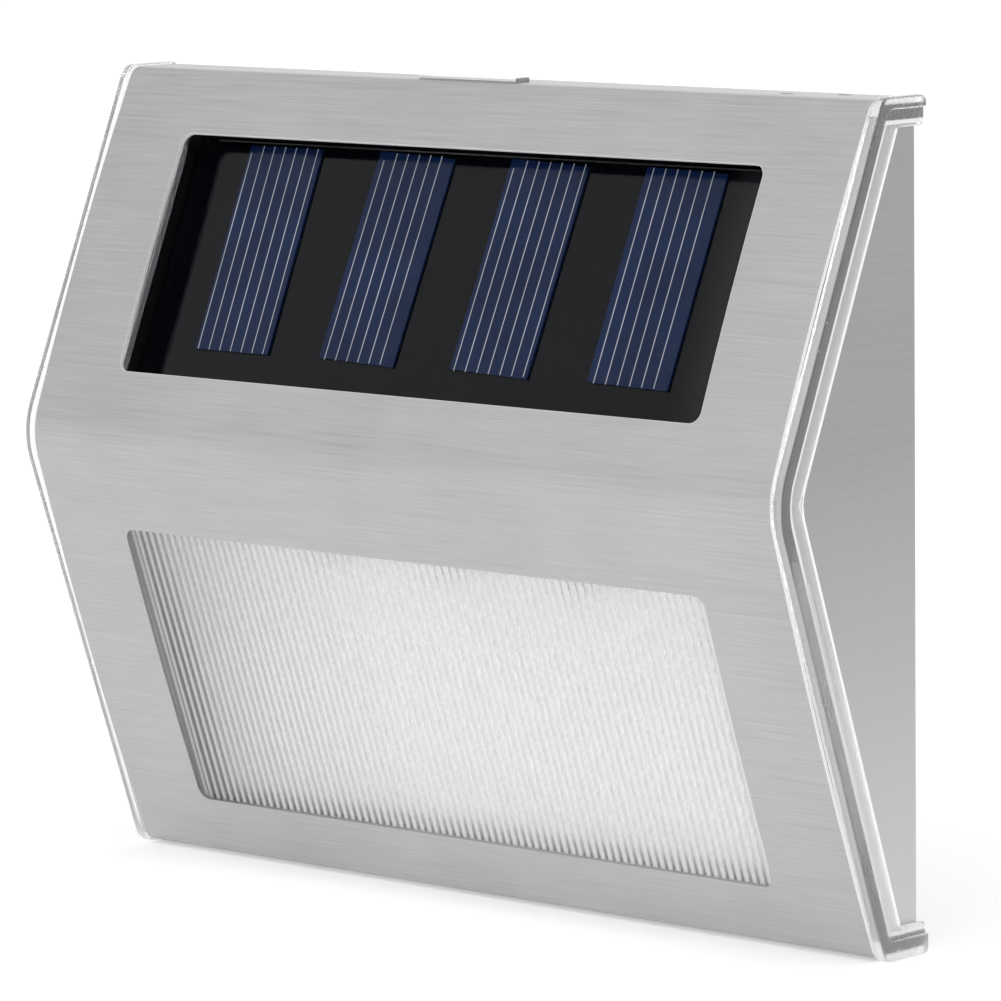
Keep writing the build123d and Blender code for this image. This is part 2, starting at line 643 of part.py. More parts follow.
def switch_body():
    """The slide switch's case, hollow for the knob's foot and slotted for its stem."""
    x_span = (-SWITCH_LENGTH / 2, SWITCH_LENGTH / 2)
    z_span = (SWITCH_Z - SWITCH_HEIGHT / 2, SWITCH_Z + SWITCH_HEIGHT / 2)
    case = block(x_span, (BOARD_BACK_Y, SWITCH_BACK_Y), z_span)
    lid = SWITCH_BACK_Y - SWITCH_LID
    hollow = (FOOT_LENGTH, FOOT_HEIGHT, lid - FOOT - 2 * RUN_GAP, lid)
    slot = (KNOB_LENGTH, KNOB_HEIGHT, lid, SWITCH_BACK_Y)
    for length, height, front, back in (hollow, slot):
        half = (length + KNOB_TRAVEL) / 2 + RUN_GAP
        tall = height / 2 + RUN_GAP
        case -= block((-half, half), (front, back), (SWITCH_Z - tall, SWITCH_Z + tall))
    return case


def switch_knob():
    """The knob: a foot inside the switch and a ridged stem that reaches almost to the wall face."""
    foot_back = SWITCH_BACK_Y - SWITCH_LID - RUN_GAP
    foot_x = (KNOB_X - FOOT_LENGTH / 2, KNOB_X + FOOT_LENGTH / 2)
    foot_z = (SWITCH_Z - FOOT_HEIGHT / 2, SWITCH_Z + FOOT_HEIGHT / 2)
    knob = block(foot_x, (foot_back - FOOT, foot_back), foot_z)
    stem_x = (KNOB_X - KNOB_LENGTH / 2, KNOB_X + KNOB_LENGTH / 2)
    stem_z = (SWITCH_Z - KNOB_HEIGHT / 2, SWITCH_Z + KNOB_HEIGHT / 2)
    knob += block(stem_x, (foot_back, -KNOB_SET), stem_z)
    for place in (-1, 1):
        groove = KNOB_X + place * KNOB_LENGTH / 4
        groove_x = (groove - KNOB_RIDGE / 2, groove + KNOB_RIDGE / 2)
        knob -= block(groove_x, (-KNOB_SET - KNOB_RIDGE, -KNOB_SET), stem_z)
    return knob


def switch_pins():
    front = BOARD_FRONT_Y - LEAD_TAIL / 2
    return Compound([rod(LEAD_R, x, z, front, BOARD_BACK_Y) for x, z in switch_pin_places()])


def battery_cell():
    """A round cell lying along the width, with its nub to the right."""
    can = CELL_LENGTH - NUB
    shape = Cylinder(CELL_R, can, align=(Align.CENTER, Align.CENTER, Align.MIN))
    shape = fillet(shape.edges().filter_by(GeomType.CIRCLE), CELL_EDGE_R)
    shape += Pos(0, 0, can) * Cylinder(NUB_R, NUB, align=(Align.CENTER, Align.CENTER, Align.MIN))
    return Plane(origin=(NUB_END - CELL_LENGTH, CELL_Y, CELL_Z), z_dir=(1, 0, 0)) * shape


def battery_holder():
    """An open trough, with end walls for the contacts, that stands on the inner frame."""
    wall = HOLDER_IN + HOLDER_WALL
    end = HOLDER_END + HOLDER_WALL
    back = CELL_Y + HOLDER_LIP
    trough = block((-end, end), (CELL_Y - wall, back), (CELL_Z - wall, CELL_Z + wall))
    trough -= block(
        (-HOLDER_END, HOLDER_END), (CELL_Y, back), (CELL_Z - HOLDER_IN, CELL_Z + HOLDER_IN)
    )
    bed = Cylinder(HOLDER_IN, HOLDER_LENGTH)
    trough -= Plane(origin=(0, CELL_Y, CELL_Z), z_dir=(1, 0, 0)) * bed
    way = Cylinder(LEAD_HOLE_R, 2 * end)
    return trough - Plane(origin=(0, CELL_Y, CELL_Z), z_dir=(1, 0, 0)) * way


def battery_plate():
    """The flat positive contact at the right-hand end."""
    half = CONTACT_SIZE / 2
    return block((NUB_END, HOLDER_END), (CELL_Y - half, CELL_Y + half), (CELL_Z - half, CELL_Z + half))


def battery_spring():
    """The negative contact: a flat strip folded back into a leaf that presses on the cell."""
    half = CONTACT_SIZE / 2
    wall = -HOLDER_END + CONTACT / 2
    leaf = -HOLDER_END + SPRING_ROOM - CONTACT / 2
    line = Polyline((wall, half), (wall, -half), (leaf, 0), (leaf, half / 2))
    strip = trace(line, CONTACT)
    spring = extrude(Pos(0, CELL_Y, CELL_Z) * strip, SPRING_WIDTH / 2, both=True)
    room = block((-HOLDER_END, 0), (CELL_Y - CELL_R, CELL_Y + CELL_R), (CELL_Z - half, CELL_Z + half))
    return spring & room


def solar_lead(place):
    """A lead from the panel's back, behind the battery holder's end, to its pad on the board."""
    x = SOLAR_LEAD_XS[place]
    pad_x = SOLAR_PAD_XS[place]
    start = upper_point(SOLAR_LEAD_ALONG, TAPE_TOP)
    turn = upper_point(SOLAR_LEAD_ALONG, TAPE_TOP + SOLAR_LEAD_OUT)
    points = [
        (x, start.X, start.Y),
        (x, turn.X, turn.Y),
        (x, -WIRE_REAR, PAD_Z + SOLAR_LEAD_DROP),
        (pad_x, -WIRE_REAR, PAD_Z),
        (pad_x, BOARD_BACK_Y, PAD_Z),
    ]
    return wire(points)


def battery_lead(side):
    """A lead from a battery contact, out of the holder's end, to its pad on the board."""
    contact = side * HOLDER_END
    out = side * (HOLDER_END + HOLDER_WALL + CELL_LEAD_OUT)
    points = [
        (contact, CELL_Y, CELL_Z),
        (out, CELL_Y, CELL_Z),
        (out, -WIRE_REAR, PAD_Z + CELL_LEAD_DROP),
        (side * CELL_PAD_X, -WIRE_REAR, PAD_Z),
        (side * CELL_PAD_X, BOARD_BACK_Y, PAD_Z),
    ]
    return wire(points)


def keyhole(x):
    """A hanging hole: a round entry for a screw head with a narrow slot above it."""
    entry = rod(KEYHOLE_R, x, KEYHOLE_Z, -PLATE, 0)
    slot_x = (x - KEYHOLE_SLOT_R, x + KEYHOLE_SLOT_R)
    entry += block(slot_x, (-PLATE, 0), (KEYHOLE_Z, KEYHOLE_Z + KEYHOLE_RISE))
    return entry + rod(KEYHOLE_SLOT_R, x, KEYHOLE_Z + KEYHOLE_RISE, -PLATE, 0)


def dimple(x, z):
    """A pressed cup that lets a screw head lie below the wall face."""
    outer = (
        (DIMPLE_R + PLATE, 0), (DIMPLE_R + PLATE, -PLATE), (DIMPLE_FOOT_R + PLATE, DIMPLE_BACK),
        (SCREW_R + RUN_GAP, DIMPLE_BACK), (SCREW_R + RUN_GAP, -DIMPLE),
        (DIMPLE_FOOT_R, -DIMPLE), (DIMPLE_R, 0),
    )
    cup = revolve(make_face(Polyline(*outer, close=True)), Axis.Y)
    return Pos(x, 0, z) * cup


def back_plate():
    """Sheet back with a triangular ear bent forward at each end, keyholes and the knob's window."""
    half_height = HEIGHT / 2 - EAR_DEPTH
    plate = block((-EAR_OUT, EAR_OUT), (-PLATE, 0), (-half_height, half_height))
    ear = across(section(EAR_DEPTH), EAR_OUT - PLATE, EAR_OUT)
    plate += both_ends(ear)
    upright = plate.edges().filter_by(Axis.Z)
    outer_bends = [edge for edge in upright if abs(edge.center().X) > EAR_OUT - FIT_GAP]
    plate = fillet([edge for edge in outer_bends if edge.center().Y > -FIT_GAP], PLATE_BEND_R)
    inner_bends = [
        edge
        for edge in plate.edges().filter_by(Axis.Z)
        if abs(edge.center().Y + PLATE) < FIT_GAP and abs(abs(edge.center().X) - EAR_OUT + PLATE) < FIT_GAP
    ]
    plate = fillet(inner_bends, PLATE_BEND_R - PLATE)
    for side in (-1, 1):
        plate -= keyhole(side * KEYHOLE_X)
        for z in (-BOSS_Z, BOSS_Z):
            plate -= rod(DIMPLE_R + PLATE / 2, side * BOSS_X, z, -PLATE, 0)
            plate += dimple(side * BOSS_X, z)
    window_w = KNOB_LENGTH + KNOB_TRAVEL + 2 * KNOB_WINDOW_SIDE
    window = RectangleRounded(window_w, KNOB_WINDOW_HEIGHT, KNOB_WINDOW_R)
    face = Plane(origin=(0, 0, SWITCH_Z), x_dir=(1, 0, 0), z_dir=(0, -1, 0))
    return plate - extrude(face * window, PLATE)


def back_screws():
    places = [(x, z) for x in (-BOSS_X, BOSS_X) for z in (-BOSS_Z, BOSS_Z)]
    return Compound(
        [screw(x, -DIMPLE, z, SCREW_R, SCREW_HEAD_R, SCREW_HEAD, SCREW_LENGTH) for x, z in places]
    )


def frame_screws():
    places = (-LUG_X, LUG_X)
    return Compound(
        [screw(x, LUG_BACK_Y, LUG_Z, SCREW_R, SCREW_HEAD_R, SCREW_HEAD, SCREW_LENGTH) for x in places]
    )


def board_screws():
    sizes = (BOARD_SCREW_R, BOARD_SCREW_HEAD_R, BOARD_SCREW_HEAD, BOARD_SCREW_LENGTH)
    places = (-BOARD_SCREW_X, BOARD_SCREW_X)
    return Compound([screw(x, BOARD_BACK_Y, BOARD_SCREW_Z, *sizes) for x in places])


def seal_beads():
    """White sealant between each ear's edge and the inside of the shell."""
    bead = section(BODY_IN + FIT_GAP / 2) - section(EAR_DEPTH - FIT_GAP / 2)
    right = across(bead, EAR_OUT - SEAL_WIDTH, EAR_OUT)
    return Compound([right, mirror(right, Plane.YZ)])


PIECES = {
    "front_cover": front_cover,
    "clear_body": clear_body,
    "panel_board": panel_board,
    "solar_cells": solar_cells,
    "panel_resin": panel_resin,
    "panel_tape": panel_tape,
    "reflector": reflector,
    "circuit_board": circuit_board,
    "leds": leds,
    "led_leads": led_leads,
    "driver_chip": driver_chip,
    "chip_legs": chip_legs,
    "inductor": inductor,
    "inductor_leads": inductor_leads,
    "switch_body": switch_body,
    "switch_knob": switch_knob,
    "switch_pins": switch_pins,
    "battery_cell": battery_cell,
    "battery_holder": battery_holder,
    "battery_plate": battery_plate,
    "battery_spring": battery_spring,
    "solar_lead_red": lambda: solar_lead(0),
    "solar_lead_black": lambda: solar_lead(1),
    "battery_lead_red": lambda: battery_lead(1),
    "battery_lead_black": lambda: battery_lead(-1),
    "back_plate": back_plate,
    "back_screws": back_screws,
    "frame_screws": frame_screws,
    "board_screws": board_screws,
    "seal_beads": seal_beads,
}

os.makedirs("parts", exist_ok=True)
for name, make in PIECES.items():
    export_step(make(), f"parts/{name}.step")
    print("made", name)
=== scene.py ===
# %% [markdown]
# # Solar step light
# A folded steel cover hangs over one clear moulding. Its upper window shows a small solar
# panel and its lower window shows a reeded lens with a white box behind it.
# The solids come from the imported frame, which is never moved. This file gives every solid its
# finish and adds the thin details that the solids leave out.

# %% Load the frame
import math

import bmesh
import bpy
from mathutils import Matrix, Vector


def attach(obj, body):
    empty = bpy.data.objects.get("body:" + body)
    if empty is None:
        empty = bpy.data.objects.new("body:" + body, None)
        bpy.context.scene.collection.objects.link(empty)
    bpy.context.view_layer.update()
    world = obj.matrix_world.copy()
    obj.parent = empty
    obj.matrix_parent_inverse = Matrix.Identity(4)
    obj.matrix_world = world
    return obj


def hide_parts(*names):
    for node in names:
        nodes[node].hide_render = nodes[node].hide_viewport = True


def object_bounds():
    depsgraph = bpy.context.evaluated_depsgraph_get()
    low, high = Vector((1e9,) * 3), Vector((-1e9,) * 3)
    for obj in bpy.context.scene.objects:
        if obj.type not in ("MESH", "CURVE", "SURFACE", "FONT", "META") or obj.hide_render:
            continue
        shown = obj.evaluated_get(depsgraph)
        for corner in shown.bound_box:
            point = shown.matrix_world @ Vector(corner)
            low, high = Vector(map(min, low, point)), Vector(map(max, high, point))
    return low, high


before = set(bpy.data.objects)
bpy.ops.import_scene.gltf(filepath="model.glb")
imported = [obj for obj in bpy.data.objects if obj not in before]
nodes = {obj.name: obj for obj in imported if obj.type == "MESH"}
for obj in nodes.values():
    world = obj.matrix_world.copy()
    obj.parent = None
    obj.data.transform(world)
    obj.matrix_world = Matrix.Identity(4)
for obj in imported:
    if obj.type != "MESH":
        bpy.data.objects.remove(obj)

MM = 0.001
cad_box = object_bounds()
scene = bpy.context.scene
scene.view_settings.view_transform = "Standard"

# %% [markdown]
# ## Camera
# The photograph was taken with a long lens from the right and a little above. The place and
# the turn of the camera were fitted to the edges of the rims and windows, so the camera is set
# by its three axes instead of by guessed angles.

# %% Camera
PHOTO_SIDE = 1001
FOCAL_PIXELS = 6000
SENSOR = 36
CAMERA_PLACE = Vector((473.25, -532.65, 93.82))
camera_data = bpy.data.cameras.new("photo_camera")
camera_data.sensor_width = SENSOR
camera_data.lens = FOCAL_PIXELS / PHOTO_SIDE * SENSOR
camera = bpy.data.objects.new("photo_camera", camera_data)
right = Vector((0.74505, 0.66690, -0.01182))
down = Vector((0.07987, -0.10680, -0.99107))
ahead = Vector((-0.66220, 0.73746, -0.13284))
camera.matrix_world = Matrix((right, -down, -ahead)).transposed().to_4x4()
camera.location = CAMERA_PLACE * MM
scene.collection.objects.link(camera)
scene.camera = camera
print("lens", round(camera_data.lens, 1), "mm")

# %% [markdown]
# ## Helpers for node trees
# The room, the finishes and the repeated details all need node trees. One helper makes a node,
# sets its own properties, and fills or links its inputs, so that each tree below reads like a
# list. Two more make the nodes that come up most: a sum of any kind, and a value that is
# stretched from one range to another.


# %% Node helpers
def add_node(tree, kind, plugs=None, **settings):
    """A new node: `settings` are its properties, `plugs` its inputs, as values or sockets."""
    made = tree.nodes.new(kind)
    for key, value in settings.items():
        setattr(made, key, value)
    for key, value in (plugs or {}).items():
        if isinstance(value, bpy.types.NodeSocket):
            tree.links.new(value, made.inputs[key])
        else:
            made.inputs[key].default_value = value
    return made


def reckon(tree, operation, *values):
    """The result of one sum, such as ADD or MAXIMUM."""
    return add_node(tree, "ShaderNodeMath", dict(enumerate(values)), operation=operation).outputs[0]


def between(tree, value, low, high, start=0.0, end=1.0):
    """A value stretched from the range start to end into the range low to high."""
    plugs = {"Value": value, "From Min": start, "From Max": end, "To Min": low, "To Max": high}
    return add_node(tree, "ShaderNodeMapRange", plugs).outputs["Result"]


# %% [markdown]
# ## Floor
# The step light stands on a white floor. The floor gets most of its white from the light that
# falls on it, so the soft shadow under the light stays, and a little glow of its own makes up
# the rest.

# %% Floor
FLOOR_GAP = 0.05
FLOOR_Z = cad_box[0][2] - FLOOR_GAP * MM
FLOOR_REACH = 6.0
FLOOR_GLOW = 0.33
CORNERS = ((-1, -1), (1, -1), (1, 1), (-1, 1))
floor_mesh = bpy.data.meshes.new("studio_floor")
floor_corners = [(x * FLOOR_REACH, y * FLOOR_REACH, FLOOR_Z) for x, y in CORNERS]
floor_mesh.from_pydata(floor_corners, [], [(0, 1, 2, 3)])
studio_floor = bpy.data.objects.new("studio_floor", floor_mesh)
scene.collection.objects.link(studio_floor)

floor_white = bpy.data.materials.new("floor_white")
floor_white.use_nodes = True
floor_shader = floor_white.node_tree.nodes["Principled BSDF"]
floor_shader.inputs["Base Color"].default_value = (0.93, 0.93, 0.93, 1)
floor_shader.inputs["Roughness"].default_value = 0.9
floor_shader.inputs["Specular IOR Level"].default_value = 0.0
floor_shader.inputs["Emission Color"].default_value = (1, 1, 1, 1)
floor_shader.inputs["Emission Strength"].default_value = FLOOR_GLOW
floor_mesh.materials.append(floor_white)
print("floor at", round(FLOOR_Z / MM, 2), "mm")

# %% [markdown]
# ## Room and lamp
# Steel and resin only look right when there is something to mirror. Mirrors see a white room
# with a grey upper wall in front, a bright ceiling, a dimmer right-hand side, a brighter far left,
# a white backdrop behind and one soft window in front, left of the middle. The camera, and light
# that has come through clear plastic, see plain white. Matt surfaces see an even white fill, and
# one wide lamp from above gives the soft shadow.

# %% World
FILL = 0.60
WALL_GREYS = ((0.03, 1.0), (0.30, 0.57), (0.60, 0.57), (0.80, 0.95))  # height and grey
RIGHT_SIDE = (0.1, 0.6)
RIGHT_LIGHT = 0.4
LEFT_SIDE = (-0.80, -0.62)
LEFT_LIGHT = 1.2
BACKDROP_SIDE = (0.3, 0.6)
BACKDROP_LIGHT = 1.2
WINDOW_TOWARDS = Vector((-0.51, -0.72, 0.47)).normalized()
WINDOW_EDGE = (0.974, 0.9925)
WINDOW_LIGHT = 1.1
world = bpy.data.worlds.new("studio")
world.use_nodes = True
scene.world = world
sky = world.node_tree
sky.nodes.clear()
direction = add_node(sky, "ShaderNodeTexCoord").outputs["Generated"]
split = add_node(sky, "ShaderNodeSeparateXYZ", {0: direction})
wall = add_node(sky, "ShaderNodeValToRGB", {"Fac": split.outputs["Z"]})
heights = wall.color_ramp.elements
for number, (height, grey) in enumerate(WALL_GREYS):
    step = heights[number] if number < 2 else heights.new(height)
    step.position = height
    step.color = (grey, grey, grey, 1)
right_dim = between(sky, split.outputs["X"], 1.0, RIGHT_LIGHT, *RIGHT_SIDE)
facing = add_node(sky, "ShaderNodeVectorMath", {0: direction, 1: WINDOW_TOWARDS}, operation="DOT_PRODUCT")
window = add_node(
    sky,
    "ShaderNodeMapRange",
    {
        "Value": facing.outputs["Value"],
        "From Min": WINDOW_EDGE[0],
        "From Max": WINDOW_EDGE[1],
        "To Min": 0.0,
        "To Max": WINDOW_LIGHT,
    },
    interpolation_type="SMOOTHSTEP",
)
left_bright = between(sky, split.outputs["X"], LEFT_LIGHT, 1.0, *LEFT_SIDE)
sides = reckon(sky, "MULTIPLY", right_dim, left_bright)
backdrop = between(sky, split.outputs["Y"], 0.0, BACKDROP_LIGHT, *BACKDROP_SIDE)
walls = reckon(sky, "MULTIPLY", wall.outputs["Color"], sides)
lit = reckon(sky, "ADD", reckon(sky, "MAXIMUM", walls, backdrop), window.outputs[0])
print("room with", len(heights), "greys from floor to ceiling")

# %% What each ray sees
room = add_node(sky, "ShaderNodeBackground", {"Color": lit, "Strength": 1.0})
fill = add_node(sky, "ShaderNodeBackground", {"Color": (1, 1, 1, 1), "Strength": FILL})
white = add_node(sky, "ShaderNodeBackground", {"Color": (1, 1, 1, 1), "Strength": 1.0})
rays = add_node(sky, "ShaderNodeLightPath").outputs
mirrored = add_node(
    sky, "ShaderNodeMixShader", {0: rays["Is Glossy Ray"], 1: fill.outputs[0], 2: room.outputs[0]}
)
straight = reckon(sky, "MAXIMUM", rays["Is Camera Ray"], rays["Is Transmission Ray"])
choose = add_node(
    sky, "ShaderNodeMixShader", {0: straight, 1: mirrored.outputs[0], 2: white.outputs[0]}
)
add_node(sky, "ShaderNodeOutputWorld", {"Surface": choose.outputs[0]})
print("room fill", FILL)

# %% Lamp
LAMP_LIGHT = 0.8
LAMP_SPREAD = 70
LAMP_TOWARDS = Vector((-0.15, 0.45, -0.9))
lamp_data = bpy.data.lights.new("overhead_lamp", "SUN")
lamp_data.energy = LAMP_LIGHT
lamp_data.angle = math.radians(LAMP_SPREAD)
overhead_lamp = bpy.data.objects.new("overhead_lamp", lamp_data)
overhead_lamp.rotation_euler = LAMP_TOWARDS.to_track_quat("-Z", "Y").to_euler()
scene.collection.objects.link(overhead_lamp)
print("one lamp,", LAMP_SPREAD, "degrees wide")

# %% [markdown]
# ## Where things lie
# The front is two flat panels that meet in a fold. A place on the upper panel is given by its
# X, by how far up the slope it lies from the fold, and by its depth under the clear lips. One
# matrix turns these three numbers into the frame, so details can be drawn flat and then laid
# on the slope.

# %% Slopes
fold = Vector((0, -27.0, 5.05))
top_bend = Vector((0, -8.1, 49.05))
bottom_bend = Vector((0, -8.1, -49.05))
upper_run = (top_bend - fold).normalized()
lower_run = (bottom_bend - fold).normalized()
UPPER_TILT = math.atan2(upper_run.z, upper_run.y)
on_upper = Matrix.Scale(MM, 4) @ Matrix.Translation(fold) @ Matrix.Rotation(UPPER_TILT, 4, "X")
print("upper panel leans", round(math.degrees(UPPER_TILT), 1), "degrees from level")


# %% [markdown]
# ## Effects that several finishes share
# Each effect is a node group with named inputs, so that a finish only has to say which colours
# and which shine it moves between. The group hands back a colour, a roughness and a height for
# a bump.


# %% Group helper
def effect_group(name, inputs, outputs):
    """An empty shader group with its named sockets, and its input and output nodes."""
    group = bpy.data.node_groups.new(name, "ShaderNodeTree")
    for title, kind in inputs:
        group.interface.new_socket(title, in_out="INPUT", socket_type="NodeSocket" + kind)
    for title, kind in outputs:
        group.interface.new_socket(title, in_out="OUTPUT", socket_type="NodeSocket" + kind)
    return group, add_node(group, "NodeGroupInput"), add_node(group, "NodeGroupOutput")


def blend_colours(tree, share, first, second):
    """Two colours mixed by a share from 0 to 1."""
    plugs = {0: share, 6: first, 7: second}
    return add_node(tree, "ShaderNodeMix", plugs, data_type="RGBA").outputs[2]


def noise(tree, place, scale, detail=2.0, distortion=0.0):
    """A soft noise, mostly between 0.3 and 0.7."""
    plugs = {"Vector": place, "Scale": scale, "Detail": detail, "Distortion": distortion}
    return add_node(tree, "ShaderNodeTexNoise", plugs).outputs[0]


SURFACE = [("Color", "Color"), ("Roughness", "Float"), ("Height", "Float")]
SHADES = [("Place", "Vector"), ("Dark", "Color"), ("Light", "Color")]
SHADES += [("Gloss", "Float"), ("Matt", "Float")]
NOISE_SPAN = (0.3, 0.7)
print("shared inputs:", ", ".join(title for title, kind in SHADES))

# %% [markdown]
# ### Brushed sheet
# Brushed steel is covered by fine parallel lines from an abrasive belt. Noise that is squeezed
# hard across the lines and left long along them looks the same. A second, wide noise adds the
# cloudy patches that handling leaves, and two thin, slanted noises that are cut off near their
# peaks leave a few stray scratches.

# %% Brushed sheet
CLOUD_SCALE = 55.0
SCRATCH_TURNS = ((0.5, 45.0), (-0.9, 60.0))  # turn, and scale along the scratch
SCRATCH_ACROSS = (900.0, 5200.0)
SCRATCH_PEAK = (0.76, 0.84)
SCRATCH_SHARE = 0.35
SCRATCH_COLOUR = (0.80, 0.80, 0.79, 1)
brushed_sheet, given, made = effect_group("brushed_sheet", SHADES + [("Surface", "Vector")], SURFACE)
asked = given.outputs
lines = noise(brushed_sheet, asked["Place"], 1.0, detail=3.0)
clouds = noise(brushed_sheet, asked["Surface"], CLOUD_SCALE, distortion=0.6)
both = reckon(brushed_sheet, "ADD", lines, between(brushed_sheet, clouds, 0.35, 0.65))
scratches = []
for turn, reach in SCRATCH_TURNS:
    slanted = add_node(
        brushed_sheet,
        "ShaderNodeMapping",
        {"Vector": asked["Surface"], "Rotation": (0.0, turn, 0.0), "Scale": (reach, *SCRATCH_ACROSS)},
    )
    streak = noise(brushed_sheet, slanted.outputs[0], 1.0, detail=1.0)
    scratches.append(between(brushed_sheet, streak, 0.0, 1.0, *SCRATCH_PEAK))
marks = reckon(brushed_sheet, "MAXIMUM", *scratches)
tone = between(brushed_sheet, both, 0.0, 1.0, 0.74, 1.26)
brushed = blend_colours(brushed_sheet, tone, asked["Dark"], asked["Light"])
scratch_share = between(brushed_sheet, marks, 0.0, SCRATCH_SHARE)
marked = blend_colours(brushed_sheet, scratch_share, brushed, SCRATCH_COLOUR)
shine = between(brushed_sheet, lines, asked["Gloss"], asked["Matt"], *NOISE_SPAN)
brushed_sheet.links.new(marked, made.inputs["Color"])
brushed_sheet.links.new(shine, made.inputs["Roughness"])
brushed_sheet.links.new(lines, made.inputs["Height"])
print("group", brushed_sheet.name)

# %% [markdown]
# ### Moulded skin
# Moulded and cast plastics are nearly one colour, but not quite: the colour drifts a little,
# the mould leaves a fine grain, and dust dulls some specks. The group mixes two close shades
# by a soft noise and puts the grain into the roughness and the bump.

# %% Moulded skin
DRIFT_SCALE = 140.0
DUST_SIZE = (0.05, 0.14)
moulded_skin, given, made = effect_group("moulded_skin", SHADES + [("Grain", "Float")], SURFACE)
asked = given.outputs
drift = noise(moulded_skin, asked["Place"], DRIFT_SCALE, detail=3.0)
grain = noise(moulded_skin, asked["Place"], asked["Grain"])
specks = add_node(
    moulded_skin, "ShaderNodeTexVoronoi", {"Vector": asked["Place"], "Scale": asked["Grain"]}
)
dust = between(moulded_skin, specks.outputs["Distance"], 1.0, 0.0, *DUST_SIZE)
tone = between(moulded_skin, reckon(moulded_skin, "ADD", drift, dust), 0.0, 1.0, 0.35, 0.75)
skin = blend_colours(moulded_skin, tone, asked["Dark"], asked["Light"])
shine = between(moulded_skin, grain, asked["Gloss"], asked["Matt"], *NOISE_SPAN)
moulded_skin.links.new(skin, made.inputs["Color"])
moulded_skin.links.new(shine, made.inputs["Roughness"])
moulded_skin.links.new(grain, made.inputs["Height"])
print("group", moulded_skin.name)

# %% [markdown]
# ### Clear flow
# Clear plastic has no colour to vary. What shows is its surface: slight waves where the melt
# flowed, and a haze that comes and goes. The group gives only a roughness and a height.

# %% Clear flow
HAZE_SCALE = 90.0
WAVE_SCALE = 260.0
HAZE_SPAN = (0.35, 0.7)
clear_flow, given, made = effect_group(
    "clear_flow", [("Place", "Vector"), ("Gloss", "Float"), ("Haze", "Float")], SURFACE[1:]
)
asked = given.outputs
haze = noise(clear_flow, asked["Place"], HAZE_SCALE, detail=3.0, distortion=1.0)
waves = noise(clear_flow, asked["Place"], WAVE_SCALE, detail=1.0)
shine = between(clear_flow, haze, asked["Gloss"], asked["Haze"], *HAZE_SPAN)
clear_flow.links.new(shine, made.inputs["Roughness"])
clear_flow.links.new(waves, made.inputs["Height"])
print("group", clear_flow.name)


# %% [markdown]
# ## Making a finish
# A finish is a material whose plain numbers sit on the shader itself, and whose colour,
# roughness and bump come from one of the groups. `dress` then gives it to the solids.


# %% Finish helpers
RELIEF = 0.1


def new_finish(name, **plain):
    """A material with its plain values set, its tree, its shader and its object coordinates."""
    material = bpy.data.materials.new(name)
    material.use_nodes = True
    tree = material.node_tree
    shader = tree.nodes["Principled BSDF"]
    for socket, value in plain.items():
        shader.inputs[socket.replace("_", " ")].default_value = value
    place = add_node(tree, "ShaderNodeTexCoord").outputs["Object"]
    return material, tree, shader, place


def raise_skin(tree, shader, height, strength):
    """Links a height to a shader as a bump."""
    plugs = {"Strength": strength, "Distance": RELIEF * MM, "Height": height}
    relief = add_node(tree, "ShaderNodeBump", plugs)
    tree.links.new(relief.outputs["Normal"], shader.inputs["Normal"])


def use_group(tree, shader, group, plugs, bump):
    """Links a group's colour, roughness and bump to a shader."""
    effect = add_node(tree, "ShaderNodeGroup", plugs, node_tree=group)
    if "Color" in effect.outputs:
        tree.links.new(effect.outputs["Color"], shader.inputs["Base Color"])
    tree.links.new(effect.outputs["Roughness"], shader.inputs["Roughness"])
    raise_skin(tree, shader, effect.outputs["Height"], bump)
    return effect


def shades(dark, light, gloss, matt, **more):
    """The inputs that most groups share."""
    return {"Dark": (*dark, 1), "Light": (*light, 1), "Gloss": gloss, "Matt": matt, **more}


def dress(material, *names):
    """Gives a finish to solids of the frame."""
    for name in names:
        nodes[name].material_slots[0].material = material
    print(material.name, "on", ", ".join(names))


# %% [markdown]
# ## Steel cover
# The cover is thin sheet, brushed along its width and then punched and folded. The brushing is
# noise squeezed in Y and Z, so it runs along X on both slopes without any unwrapping.

# %% Steel cover
COVER_BRUSH = (85.0, 9500.0, 9500.0)
cover_brushed, tree, shader, place = new_finish("cover_brushed")
along_x = add_node(tree, "ShaderNodeMapping", {"Vector": place, "Scale": COVER_BRUSH}).outputs[0]
effect = use_group(
    tree,
    shader,
    brushed_sheet,
    shades((0.425, 0.425, 0.42), (0.565, 0.563, 0.555), 0.36, 0.50, Place=along_x, Surface=place),
    0.05,
)
print("made", cover_brushed.name)


# %% [markdown]
# The punched edge of the panel's window and the sheet's two ends are torn, not brushed, so they
# are matt, and they are painted white: a painted highlight for the bright line that light draws
# along the cut. The ends are found by their X. The window's edge lies at one distance, its corner
# radius, from a smaller rectangle without round corners.


# %% Cut edges, painted with a highlight
def distance_from(value, middle, reach):
    """How far a value lies beyond a reach on either side of its middle, in metres, or 0."""
    off = reckon(tree, "ABSOLUTE", reckon(tree, "SUBTRACT", value, middle))
    return reckon(tree, "MAXIMUM", reckon(tree, "SUBTRACT", off, reach * MM), 0.0)


def is_at(value, mark):
    """1 where a value is at its mark, in millimetres."""
    return reckon(tree, "COMPARE", value, mark * MM, EDGE_NEAR * MM)


def along(direction):
    """How far a place lies along a direction."""
    plugs = {0: place, 1: direction}
    return add_node(tree, "ShaderNodeVectorMath", plugs, operation="DOT_PRODUCT").outputs["Value"]


